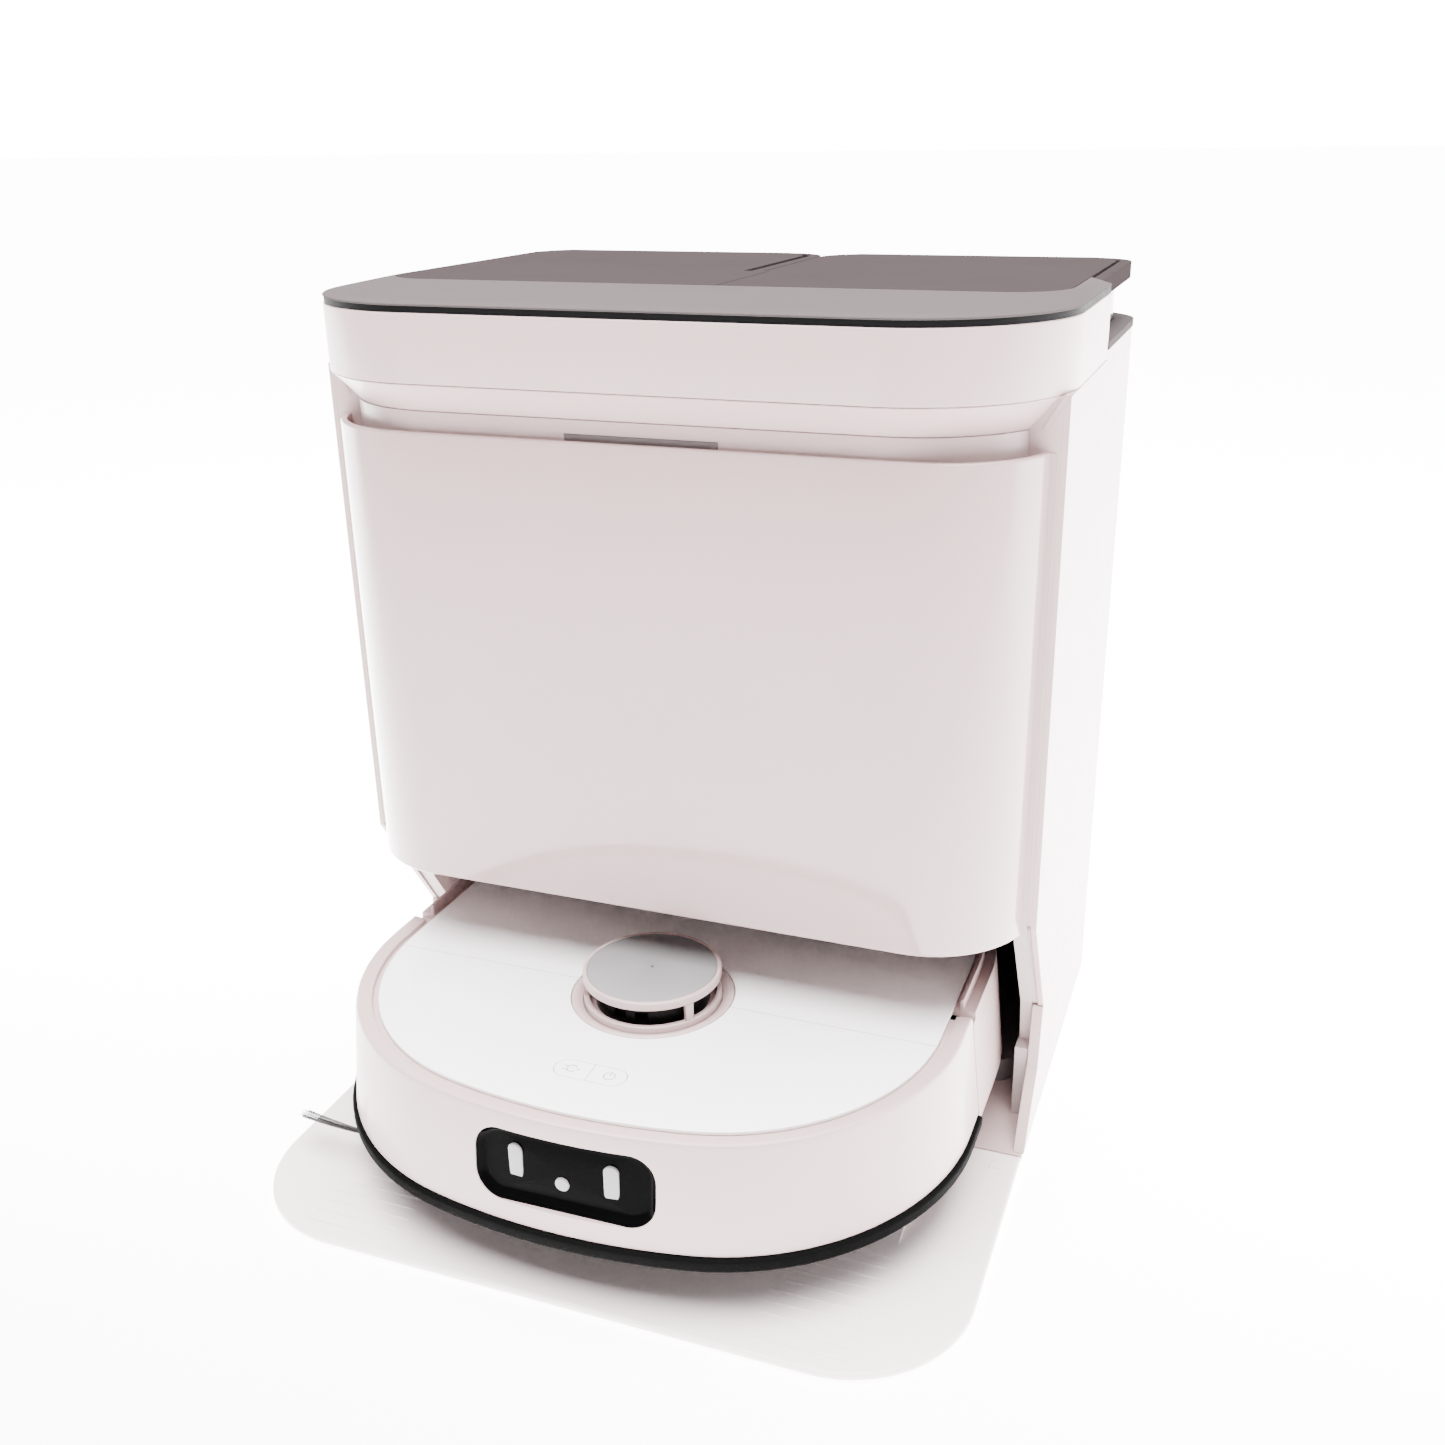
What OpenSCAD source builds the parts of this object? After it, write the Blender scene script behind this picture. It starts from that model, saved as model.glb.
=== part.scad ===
// Robot vacuum and mop parked in its self-emptying, mop-washing base station.
// Millimetres, +Z up, front faces -Y, floor at z = 0, origin under the middle of the station.

/* [Station] */
// Overall width of the station
station_w = 394; // [390:1:398]
// Height of the top cover above the floor
station_h = 465; // [464:1:475]
// Length of the ramp plate and station together
station_l = 440; // [440:1:444]
// Height of the white band under the black trim
band_h = 34; // [32:1:36]
// Height of the lower edge of the front panel
panel_bottom = 147; // [144:1:150]
// Top edge of the front panel
panel_top = 398; // [392:1:400]
// Corner radius of the upper band, seen from above
band_r = 80; // [76:1:82]
// Corner radius of the front panel, seen from above
panel_r = 57; // [52:1:60]
// Thickness of the housing walls
wall = 3; // [2.5:0.1:3.4]

/* [Base plate] */
// Thickness of the ramp plate at its edge
plate_t = 5; // [4.5:0.1:5.5]
// Corner radius of the ramp plate
plate_r = 65; // [60:1:70]
// Number of anti-slip ribs on each side
rib_count = 10; // [6:1:10]
// Distance between two ribs
rib_pitch = 8; // [6:0.5:8]

/* [Water tanks] */
// Height of the tanks
tank_h = 250; // [220:1:252]
// Wall thickness of the tanks
tank_wall = 2.5; // [2.2:0.1:3]

/* [Robot] */
// Width of the robot
robot_w = 350; // [346:1:350]
// Height of the rotating laser turret above the wheels' contact plane
robot_h = 98; // [96:1:99]
// Radius of the turret
turret_r = 37.5; // [36:0.5:38]
// Diameter of the drive wheels
wheel_d = 70; // [66:1:70]
// Radius of the mop pads
pad_r = 67; // [62:1:67]
// How far the bumper is pressed in
bumper_travel = 3; // [2:0.5:3]

/* [Hidden] */
$fn = 96;
overlap = 0.01;
sw = station_w / 2;
y_front = -station_l / 2;
y_back = station_l / 2;
plate_seam_y = -35;
foot_h = 1.5;
floor_z = 19.6;
ride_z = 20;
skirt_h = 77;
leg_front_y = -41;
band_y = -94;
band_end_y = 76;
panel_y = -81;
trim_h = 3;
cover_t = 4;
cover_z = station_h - cover_t;
trim_z = cover_z - trim_h;
band_z = trim_z - band_h;
neck_z = band_z - 16;
neck_y = -77;
neck_x = sw - 9;
deck_z = 433;
ceiling_z = 150;
frame_z = ceiling_z + 2.7;
liner_top = ceiling_z + 2.5;
rear_r = 40;
tank_top = cover_z - 3;
tank_z = tank_top - tank_h;
tank_y0 = -6.5;
tank_y1 = 206;
tank_r = 30;
left_x0 = -186;
left_x1 = -2.6;
right_x0 = 12.6;
right_x1 = 186;
grip_pin_y = 82;
grip_pin_z = station_h - 5.5;
lid_z = tank_top + 0.2;
hinge_r = (station_h - lid_z) / 2;
hinge_y = tank_y1 - 0.3 - hinge_r;
hinge_z = station_h - hinge_r;
bay_x0 = -120;
bay_x1 = 70;
bay_z0 = 177;
bay_z1 = 377;

body_r = robot_w / 2;
tail_y = -5;
nose_r = 134;
nose_x = body_r - nose_r;
nose_y = -78;
arc_r = 333;
arc_y = nose_y + sqrt(pow(arc_r - nose_r, 2) - pow(nose_x, 2));
tail_arc_y = tail_y + nose_y - arc_y;
tangent_x = nose_x * arc_r / (arc_r - nose_r);
draft = 5.5;
rim_in = 14.2;
cover_in = rim_in + bumper_travel + 0.3;
chassis_z = 29;
strip_z = 35.3;
bumper_z = 42.8;
lip_z = 98.9;
rim_z = 102.4;
top_z = 101.2;
bumper_end_y = -57;
seam_robot_y = -87;
turret_z = ride_z + robot_h - 0.5;
roof_h = 5;
key_y = -165.5;
wheel_x = 118;
wheel_y = -41;
wheel_z = ride_z + wheel_d / 2 + 0.2;
arm_pivot_y = 8;
arm_pivot_z = 64;
brush_y = -66;
brush_r = 16;
brush_z = ride_z + brush_r + 1;
sweep_x = -118;
sweep_y = -160;
caster_y = -186;
pad_x = 70;
pad_y = 38;
basin_h = 3.4;

white = [0.93, 0.92, 0.91];
grey = [0.47, 0.45, 0.45];
dark = [0.16, 0.15, 0.16];
black = [0.05, 0.05, 0.06];
smoke = [0.35, 0.34, 0.34];
steel = [0.70, 0.70, 0.72];
copper = [0.80, 0.55, 0.35];
green = [0.10, 0.35, 0.22];
cloth = [0.75, 0.74, 0.72];

// ---------- shared outlines ----------

// Rounded rectangle with one radius for the front corners and one for the rear corners.
module round_plan(x0, x1, y0, y1, rf, rr) {
    polygon([
        [x0 + rf, y0], [x1 - rf, y0], [x1, y0 + rf], [x1, y1 - rr],
        [x1 - rr, y1], [x0 + rr, y1], [x0, y1 - rr], [x0, y0 + rf]
    ]);
    if (rf > 0) {
        translate([x0 + rf, y0 + rf]) circle(r = rf);
        translate([x1 - rf, y0 + rf]) circle(r = rf);
    }
    if (rr > 0) {
        translate([x0 + rr, y1 - rr]) circle(r = rr);
        translate([x1 - rr, y1 - rr]) circle(r = rr);
    }
}

module slab(z0, z1) {
    translate([0, 0, z0]) linear_extrude(z1 - z0) children();
}

// Prism of a side-view outline (y, z) running from x0 to x1.
module side_prism(x0, x1, pts) {
    translate([x0, 0, 0])
        rotate([90, 0, 90])
        linear_extrude(x1 - x0)
        polygon(pts);
}

// Prism of a front-view outline (x, z) running from y0 to y1.
module front_prism(y0, y1) {
    translate([0, y1, 0])
        rotate([90, 0, 0])
        linear_extrude(y1 - y0)
        children();
}

module box(x0, x1, y0, y1, z0, z1) {
    translate([x0, y0, z0]) cube([x1 - x0, y1 - y0, z1 - z0]);
}

module rod_x(x0, x1, y, z, r) {
    translate([x0, y, z]) rotate([0, 90, 0]) cylinder(h = x1 - x0, r = r);
}

module rod_y(y0, y1, x, z, r) {
    translate([x, y1, z]) rotate([90, 0, 0]) cylinder(h = y1 - y0, r = r);
}

// Rounded bar seen from the front.
module pill(x, z, w, h) {
    r = w / 2;
    translate([x - r, z - h / 2 + r]) square([w, h - w]);
    translate([x, z - h / 2 + r]) circle(r = r);
    translate([x, z + h / 2 - r]) circle(r = r);
}

// Solid with the robot's rounded square plan, inset by i0 at z0 and by i1 at z1.
module robot_form(z0, z1, i0, i1) {
    h = z1 - z0;
    for (x = [-nose_x, nose_x])
        for (y = [nose_y, tail_y])
            translate([x, y, z0]) cylinder(h = h, r1 = nose_r - i0, r2 = nose_r - i1, $fn = 360);
    front_prism(nose_y, tail_y)
        polygon([[-body_r + i0, z0], [body_r - i0, z0], [body_r - i1, z1], [-body_r + i1, z1]]);
    // Both end arcs stand 0.05 mm in, so that they cross the corner circles instead of touching them.
    intersection() {
        translate([0, arc_y, z0])
            cylinder(h = h, r1 = arc_r - 0.05 - i0, r2 = arc_r - 0.05 - i1, $fn = 720);
        box(-tangent_x, tangent_x, y_front - 20, nose_y, z0 - 1, z1 + 1);
    }
    intersection() {
        translate([0, tail_arc_y, z0])
            cylinder(h = h, r1 = arc_r - 0.05 - i0, r2 = arc_r - 0.05 - i1, $fn = 720);
        box(-tangent_x, tangent_x, tail_y, y_back, z0 - 1, z1 + 1);
    }
}

// Inset of the drafted robot wall at a height.
function lean(z) = draft * (z - bumper_z) / (lip_z - bumper_z);

module drafted(z0, z1, i) {
    robot_form(z0, z1, i + lean(z0), i + lean(z1));
}

module left_tank_plan(g) {
    round_plan(left_x0 + g, left_x1 - g, tank_y0 + g, tank_y1 - g, tank_r - g, tank_r - g);
}

module right_tank_plan(g) {
    round_plan(right_x0 + g, right_x1 - g, tank_y0 + g, tank_y1 - g, tank_r - g, tank_r - g);
}

module band_plan(i, y_end) {
    intersection() {
        round_plan(-sw + i, sw - i, band_y + i, 300, band_r - i, 20);
        translate([-sw, band_y - 1]) square([2 * sw, y_end - band_y + 1]);
    }
}

// ---------- station ----------

module base_ramp() {
    color(white) difference() {
        union() {
            slab(foot_h, plate_t)
                intersection() {
                    round_plan(-sw + 1, sw - 1, y_front, 100, plate_r, 20);
                    translate([-sw, y_front - 1]) square([2 * sw, plate_seam_y - 0.2 - y_front + 1]);
                }
            side_prism(-150, 150, [[-126, foot_h], [-126, plate_t], [-78, floor_z],
                                   [plate_seam_y - 0.2, floor_z], [plate_seam_y - 0.2, foot_h]]);
            for (s = [-1, 1])
                for (i = [0 : rib_count - 1])
                    rod_x(s < 0 ? -150 : 98, s < 0 ? -98 : 150, -137 - i * rib_pitch, plate_t - 0.1, 0.9);
        }
        for (s = [-1, 1])
            box(s * 184 - 3.5, s * 184 + 3.5, -49.5, -44, plate_t - 0.5, plate_t + 1);
    }
}

module skirt_plan() {
    difference() {
        round_plan(-sw, sw, plate_seam_y - 60, y_back, 20, rear_r);
        round_plan(-sw + 6, sw - 6, plate_seam_y - 54, y_back - 6, 14, rear_r - 6);
    }
}

module dock_base() {
    color(white) {
        slab(foot_h, plate_t)
            intersection() {
                round_plan(-sw + 1, sw - 1, plate_seam_y - 60, y_back - 1, 20, rear_r - 1);
                translate([-sw, plate_seam_y]) square([2 * sw, 400]);
            }
        box(-150, 150, plate_seam_y, 28, foot_h, floor_z);
    }
}

// Raised wall round the sides and rear of the base.
module base_skirt() {
    color(white) intersection() {
        slab(plate_t, skirt_h) skirt_plan();
        side_prism(-sw - 1, sw + 1, [[-33, plate_t], [-13, 29], [-1, 41], [6, skirt_h],
                                     [y_back + 1, skirt_h], [y_back + 1, plate_t]]);
    }
}

module rubber_feet() {
    color(dark) {
        cylinder(h = foot_h, r = 9);
        for (s = [-1, 1])
            for (y = [-165, -80, 0, 100, 190])
                translate([s * (y > -100 ? 165 : 120), y, 0]) cylinder(h = foot_h, r = 9);
    }
}

module wash_tray() {
    color(grey) difference() {
        slab(plate_t, floor_z) round_plan(-178, 178, 30, 190, 12, 30);
        for (s = [-1, 1])
            translate([s * pad_x, 98, floor_z - basin_h]) cylinder(h = 20, r = 36);
    }
    color(dark)
        for (s = [-1, 1])
            for (i = [-3 : 3])
                translate([s * pad_x + i * 9 - 1.2, 76, floor_z - basin_h])
                    cube([2.4, 44, basin_h - 0.6]);
}

module housing_side_profile() {
    polygon([[6.5, skirt_h + 0.2], [leg_front_y, 151], [leg_front_y, band_z - 0.2],
             [band_end_y + 0.2, band_z - 0.2], [band_end_y + 0.2, deck_z - 4.2],
             [y_back + 1, deck_z - 4.2], [y_back + 1, skirt_h + 0.2]]);
}

module housing_shell() {
    // Front posts: they reach in behind the rounded ends of the neck, so that no slot is left there.
    color(white) for (s = [-1, 1])
        box(s * 186.2 - 7.9, s * 186.2 + 7.9, leg_front_y + 0.1, leg_front_y + 3, 153, band_z - 0.2);
    color(white) difference() {
        intersection() {
            slab(skirt_h, deck_z) difference() {
                round_plan(-sw, sw, -90, y_back, 20, rear_r);
                round_plan(-sw + wall, sw - wall, -200, y_back - wall, 2, rear_r - wall);
            }
            translate([-sw - 1, 0, 0])
                rotate([90, 0, 90])
                linear_extrude(2 * sw + 2)
                housing_side_profile();
        }
        box(-150.3, 150.3, y_back - 10, y_back + 1, 89.7, 420.3);
    }
}

module back_panel() {
    color(white) difference() {
        union() {
            box(-150, 150, y_back - wall, y_back, 90, 420);
            box(-156, 156, y_back - wall - 3.2, y_back - wall - 0.2, 84, 426);
            box(-148, 148, y_back - wall - 0.3, y_back - wall + 0.1, 92, 418);
        }
        box(118 - 12.3, 118 + 12.3, y_back - 20, y_back + 1, 101.7, 118.3);
        for (s = [-1, 1])
            for (z = [98, 255, 412])
                rod_y(y_back - 12, y_back + 1, s * 142, z, 2.4);
        for (i = [-7 : 7])
            front_prism(y_back - 12, y_back + 1) pill(-60 + i * 7, 130, 3, 30);
    }
}

module back_screws() {
    color(steel)
        for (s = [-1, 1])
            for (z = [98, 255, 412])
                difference() {
                    rod_y(y_back - 12, y_back - 1.4, s * 142, z, 2.2);
                    front_prism(y_back - 3, y_back) {
                        translate([s * 142 - 1.4, z - 0.4]) square([2.8, 0.8]);
                        translate([s * 142 - 0.4, z - 1.4]) square([0.8, 2.8]);
                    }
                }
}

module mains_inlet() {
    color(black) difference() {
        box(118 - 12, 118 + 12, y_back - 18, y_back - 0.4, 102, 118);
        front_prism(y_back - 15, y_back + 1) {
            translate([118 - 4.4, 110]) circle(r = 4.2);
            translate([118 + 4.4, 110]) circle(r = 4.2);
            translate([118 - 4.4, 105.8]) square([8.8, 8.4]);
        }
    }
    color(steel)
        for (s = [-1, 1])
            rod_y(y_back - 15.5, y_back - 4, 118 + s * 4.3, 110, 1.2);
}

module cavity_liner() {
    color(black) difference() {
        union() {
            box(-183.8, 183.8, leg_front_y + 0.2, 159, ceiling_z, ceiling_z + 2.5);
            box(-183.8, 183.8, 156.5, 159, 36, ceiling_z + 0.1);
        }
        box(-66, -44, 9, 31, ceiling_z - 1, ceiling_z + 4);
    }
}

// Side walls of the docking bay with the foot at their front and the kerb beside the wash tray.
module cavity_side_walls() {
    color(grey) for (s = [-1, 1]) {
        side_prism(s * 187.3 - 3.3, s * 187.3 + 3.3,
                   [[14, 36], [6.5, 78], [-38, 149], [-38, liner_top], [159, liner_top], [159, 36]]);
        side_prism(s * 192.1 - 1.6, s * 192.1 + 1.6,
                   [[7.6, 77.4], [-37.4, 149], [-37.4, liner_top], [159, liner_top], [159, 77.4]]);
        box(s * 186.9 - 3.7, s * 186.9 + 3.7, 2, 14.2, plate_t + 0.1, 50);
        box(s * 184.4 - 2.4, s * 184.4 + 2.4, 40, 150, plate_t + 0.1, 35.8);
    }
}

module charge_block() {
    color(dark) {
        box(-44, 44, 140, 156.2, 36, 66);
        box(-30, 30, 137, 140.1, 42, 60);
    }
}

module dock_contacts() {
    color(steel)
        for (s = [-1, 1]) {
            box(s * 18 - 6, s * 18 + 6, 136.2, 137, 46, 56);
            box(s * 18 - 4, s * 18 + 4, 133.8, 136.3, 47.5, 54.5);
        }
}

// White band round the top with the chamfer that leads in to the neck.
module upper_fascia() {
    color(white) difference() {
        union() {
            slab(band_z, trim_z) band_plan(0, band_end_y);
            hull() {
                slab(band_z, band_z + 1) band_plan(0.3, leg_front_y);
                slab(neck_z + 0.2, neck_z + 1.2) neck_plan(-0.3);
            }
        }
        slab(neck_z, trim_z + 1) band_plan(22, band_end_y + 5);
        slab(band_z, trim_z + 1) band_plan(4, band_end_y + 5);
    }
}

// Front wall of the station behind the removable panel, open where the dust bag sits.
module front_frame() {
    color(white) difference() {
        slab(frame_z, neck_z) neck_plan(0);
        slab(frame_z + 2.5, neck_z + 1) neck_plan(3.5);
        front_prism(-80, -60)
            translate([bay_x0 - 0.3, bay_z0 - 0.3])
            square([bay_x1 - bay_x0 + 0.6, bay_z1 - bay_z0 + 0.6]);
        front_prism(neck_y - 3, neck_y + 2) translate([-40.2, 392.8]) square([80.4, 8.4]);
    }
}

module neck_plan(i) {
    intersection() {
        round_plan(-neck_x + i, neck_x - i, neck_y + i, 200, 70 - i, 20);
        translate([-sw, neck_y - 1]) square([2 * sw, leg_front_y - neck_y + 0.8]);
    }
}

module grip_bar() {
    color(grey) box(-40, 40, neck_y, neck_y + 1.8, 393, 401);
}

module panel_plan(i) {
    intersection() {
        round_plan(-192.2 + i, 192.2 - i, panel_y + i, 200, panel_r - i, 20);
        translate([-sw, panel_y - 1]) square([2 * sw, leg_front_y - 0.4 - panel_y + 1]);
    }
}

module front_panel() {
    color(white) difference() {
        slab(panel_bottom, panel_top) panel_plan(0);
        slab(panel_bottom - 1, panel_top - 3.5) panel_plan(3.6);
        slab(panel_top - 4, panel_top + 1) neck_clearance();
    }
}

module neck_clearance() {
    round_plan(-neck_x - 0.4, neck_x + 0.4, neck_y - 0.4, 200, 70.4, 20);
}

module top_cover() {
    color(grey) difference() {
        slab(cover_z, station_h) band_plan(0, band_end_y);
        slab(cover_z - 1, station_h + 1) lids_plan(0.5);
    }
}

module cover_trim() {
    color(black) difference() {
        slab(trim_z, cover_z) band_plan(0.6, band_end_y);
        slab(trim_z - 1, cover_z + 1) lids_plan(0.5);
    }
}

module tank_deck() {
    color(grey) difference() {
        slab(deck_z - 4, deck_z)
            intersection() {
                round_plan(-sw - 0.5, sw + 0.5, 0, y_back + 0.5, 20, rear_r + 0.5);
                translate([-sw - 1, band_end_y + 0.4]) square([2 * sw + 2, 400]);
            }
        slab(deck_z - 5, deck_z + 1) left_tank_plan(-0.5);
        slab(deck_z - 5, deck_z + 1) right_tank_plan(-0.5);
    }
}

module clean_tank() {
    color(smoke) difference() {
        slab(tank_z, tank_top) left_tank_plan(0);
        slab(tank_z + tank_wall, tank_top + 1) left_tank_plan(tank_wall);
        rod_x(left_x0 - 1, left_x0 + 2.4, grip_pin_y, grip_pin_z, 2.1);
        rod_x(left_x1 - 2.4, left_x1 + 1, grip_pin_y, grip_pin_z, 2.1);
    }
}

module dirty_tank() {
    color(smoke) difference() {
        slab(tank_z, tank_top) right_tank_plan(0);
        slab(tank_z + tank_wall, tank_top + 1) right_tank_plan(tank_wall);
        rod_x(right_x0 - 1, right_x0 + 2.4, grip_pin_y, grip_pin_z, 2.1);
        rod_x(right_x1 - 2.4, right_x1 + 1, grip_pin_y, grip_pin_z, 2.1);
    }
}

// Outline of both lids together; g is the gap left round them.
module lids_plan(g) {
    left_tank_plan(-g);
    right_tank_plan(-g);
    translate([left_x1 - 40, tank_y0 - g]) square([80, band_end_y - tank_y0 + 5]);
}

// Rounds a lid's rear edge about its hinge axis and opens it over the handle's two pins.
module hinged_lid(x0, x1) {
    difference() {
        children();
        difference() {
            box(x0 - 20, x1 + 20, hinge_y, tank_y1 + 1, lid_z - 5, station_h + 1);
            rod_x(x0 - 21, x1 + 21, hinge_y, hinge_z, hinge_r);
        }
        for (x = [x0, x1])
            box(x - 2.6, x + 2.6, grip_pin_y - 2.5, grip_pin_y + 2.5, lid_z - 5, grip_pin_z + 2.5);
    }
}

module clean_tank_lid() {
    color(grey) hinged_lid(left_x0, left_x1) {
        slab(lid_z, station_h) {
            left_tank_plan(0.3);
            translate([left_x1 - 40, tank_y0 + 0.3]) square([right_x0 - 0.4 - left_x1 + 40, 82]);
        }
        slab(lid_z - 3, lid_z + 0.1) difference() {
            left_tank_plan(tank_wall + 1.2);
            left_tank_plan(tank_wall + 4.2);
        }
    }
}

module dirty_tank_lid() {
    color(grey) hinged_lid(right_x0, right_x1) {
        slab(lid_z, station_h) {
            right_tank_plan(0.3);
            translate([right_x0 + 0.3, tank_y0 + 0.3]) square([40, 40]);
        }
        slab(lid_z - 3, lid_z + 0.1) difference() {
            right_tank_plan(tank_wall + 1.2);
            right_tank_plan(tank_wall + 4.2);
        }
    }
}

// Carry handle folded round the rear half of a tank: two arms, a rear bar and two pins.
module carry_handle(x0, x1, out0, out1) {
    color(grey) {
        difference() {
            slab(station_h - 10, station_h - 1)
                round_plan(x0 - out0, x1 + out1, 0, tank_y1 + 7.2, 5, 24);
            slab(station_h - 11, station_h)
                round_plan(x0 - 0.5, x1 + 0.5, -10, tank_y1 + 0.5, 5, 18);
            box(x0 - 20, x1 + 20, -5, grip_pin_y, station_h - 20, station_h + 5);
        }
        rod_x(x0 - out0, x0 - 0.5, grip_pin_y, grip_pin_z, 4.5);
        rod_x(x1 + 0.5, x1 + out1, grip_pin_y, grip_pin_z, 4.5);
        rod_x(x0 - 0.6, x0 + 2.2, grip_pin_y, grip_pin_z, 2);
        rod_x(x1 - 2.2, x1 + 0.6, grip_pin_y, grip_pin_z, 2);
    }
}

module clean_tank_handle() {
    carry_handle(left_x0, left_x1, 7, 7.2);
}

module dirty_tank_handle() {
    carry_handle(right_x0, right_x1, 7.2, 7);
}

// Bay of the dust bag with the square duct from its back down to the docking bay's ceiling.
module dust_bay() {
    color(dark) difference() {
        union() {
            box(bay_x0, bay_x1, -72.5, -9, bay_z0, bay_z1);
            box(-69, -41, -9.1, 34, 179, 207);
            box(-69, -41, 6, 34, frame_z, 190);
        }
        box(bay_x0 + 3, bay_x1 - 3, -80, -12, bay_z0 + 3, bay_z1 - 3);
        box(-66, -44, -20, 31, 182, 204);
        box(-66, -44, 9, 31, frame_z - 1, 190);
    }
}

module dust_bag() {
    color(cloth) difference() {
        hull() {
            box(-110, 60, -62, -24, 205, 360);
            box(-95, 45, -70, -16, 220, 345);
        }
        rod_y(-26, 0, -55, 240, 16);
    }
}

module suction_motor() {
    color(dark) {
        translate([-110, 70, ceiling_z + 2.7]) cylinder(h = 30, r = 46);
        translate([-110, 70, ceiling_z + 32.7]) cylinder(h = 12, r = 30);
    }
}

module water_pump() {
    color(dark) {
        box(60, 110, 20, 60, ceiling_z + 2.7, 185);
        rod_y(60, 95, 85, 170, 14);
    }
}

module drying_fan() {
    color(dark) difference() {
        translate([120, 125, ceiling_z + 2.7]) cylinder(h = 30, r = 30);
        translate([120, 125, ceiling_z + 15]) cylinder(h = 20, r = 14);
    }
}

module control_board() {
    color(green) box(80, 165, -40, -38.2, 230, 350);
    color(dark)
        for (p = [[90, 250], [118, 300], [142, 260], [100, 330]])
            box(p[0], p[0] + 16, -44, -39.8, p[1], p[1] + 14);
}

module power_supply() {
    color(dark) box(80, 160, -36, -12, 160, 215);
}

// ---------- robot ----------

module wheel_slot(x) {
    box(x - 15, x + 15, wheel_y - 40, wheel_y + 40, 20, 60);
}

module robot_chassis() {
    color(dark) difference() {
        robot_form(chassis_z, 36, 10, 10);
        wheel_slot(-wheel_x);
        wheel_slot(wheel_x);
        box(-90, 90, brush_y - 19, brush_y + 19, 20, 60);
        translate([0, caster_y, 20]) cylinder(h = 30, r = 17);
        translate([sweep_x, sweep_y, 20]) cylinder(h = 30, r = 6);
        for (s = [-1, 1])
            translate([s * pad_x, pad_y, 20]) cylinder(h = 30, r = 8);
    }
}

module rear_shell() {
    color(white) difference() {
        union() {
            difference() {
                union() {
                    drafted(36.2, 100, 3.6);
                    intersection() {
                        drafted(36.2, 100, 0.4);
                        box(-200, 200, bumper_end_y + bumper_travel + 0.5, y_back, 30, 110);
                    }
                    intersection() {
                        drafted(99, 106, 6.4);
                        box(-200, 200, -48, 60, 90, 120);
                    }
                }
                robot_form(35, 120, rim_in, rim_in);
            }
            difference() {
                robot_form(96, lip_z, rim_in - 1, rim_in - 1);
                robot_form(90, 110, 24, 24);
            }
        }
        contact_pair(126, 133.4);
        box(-200, 200, -300, bumper_end_y - 6, 0, 200);
        box(-200, 200, 60.2, 200, 100, 120);
        box(-200, 200, -300, -48, 96, 120);
    }
}

module robot_top(y0, y1) {
    difference() {
        intersection() {
            robot_form(99.2, top_z, cover_in, cover_in + 0.6);
            box(-200, 200, y0, y1, 90, 120);
        }
        translate([0, seam_robot_y, 90]) cylinder(h = 30, r = 44.8);
    }
}

module front_top_cover() {
    color(white) difference() {
        robot_top(-260, seam_robot_y - 0.25);
        translate([0, 0, 90]) linear_extrude(20) key_plan(19.9, 7.3);
    }
}

module rear_top_cover() {
    color(white) robot_top(seam_robot_y + 0.25, 200);
}

// Flat pill-shaped outline of the two keys.
module key_plan(w, r) {
    translate([-w + r, key_y - r]) square([2 * (w - r), 2 * r]);
    translate([-w + r, key_y]) circle(r = r);
    translate([w - r, key_y]) circle(r = r);
}

module half_key(s) {
    color(white) {
        intersection() {
            slab(top_z - 1.8, top_z + 0.2) key_plan(19.5, 6.9);
            box(s < 0 ? -30 : 0.2, s < 0 ? -0.2 : 30, -200, -100, 90, 120);
        }
        translate([s * 10, key_y, 95]) cylinder(h = 5, r = 3);
    }
}

module spot_key() {
    half_key(-1);
}

module power_key() {
    half_key(1);
}

module bumper_cut() {
    box(-200, 200, bumper_end_y, 200, 0, 200);
}

module window_plan(g) {
    r = 14 - g;
    translate([6, 73.5])
        round_plan(-47.5 + g, 47.5 - g, -19.5 + g, 19.5 - g, r, r);
}

module bumper() {
    color(white) difference() {
        union() {
            difference() {
                drafted(bumper_z, lip_z, 0);
                drafted(bumper_z - 1, lip_z - 2.6, 3);
                robot_form(90, 110, 24, 24);
            }
            difference() {
                drafted(lip_z - overlap, rim_z, 0.3);
                robot_form(lip_z - 1, rim_z + 1, rim_in, rim_in);
            }
        }
        bumper_cut();
        front_prism(-230, -120) window_plan(0);
    }
}

module bumper_strip() {
    color(black) difference() {
        robot_form(strip_z, bumper_z, -2.4, -2.4);
        robot_form(strip_z - 1, bumper_z + 1, 2.6, 2.6);
        bumper_cut();
    }
}

// Distance behind the nose apex of a point on the front arc.
function arc_back(x) = arc_r - sqrt(pow(arc_r, 2) - pow(x, 2));

module lens_outlines(g) {
    pill(-20.4, 74.2, 8 - 2 * g, 22 - 2 * g);
    pill(30.1, 73.2, 8 - 2 * g, 22 - 2 * g);
    translate([4.7, 68]) circle(r = 4 - g);
}

module sensor_window() {
    color(black) difference() {
        intersection() {
            translate([0, arc_y, 52]) cylinder(h = 43, r1 = arc_r - 4.1, r2 = arc_r - 8.3, $fn = 720);
            box(-43, 55, -230, -203, 52.5, 94.5);
        }
        translate([0, arc_y, 50]) cylinder(h = 47, r = arc_r - 10.4, $fn = 720);
        front_prism(-230, -190) lens_outlines(0);
    }
}

module sensor_lenses() {
    color(steel) front_prism(arc_y - arc_r + 5.6, arc_y - arc_r + 9.5) lens_outlines(0.05);
}

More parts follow.
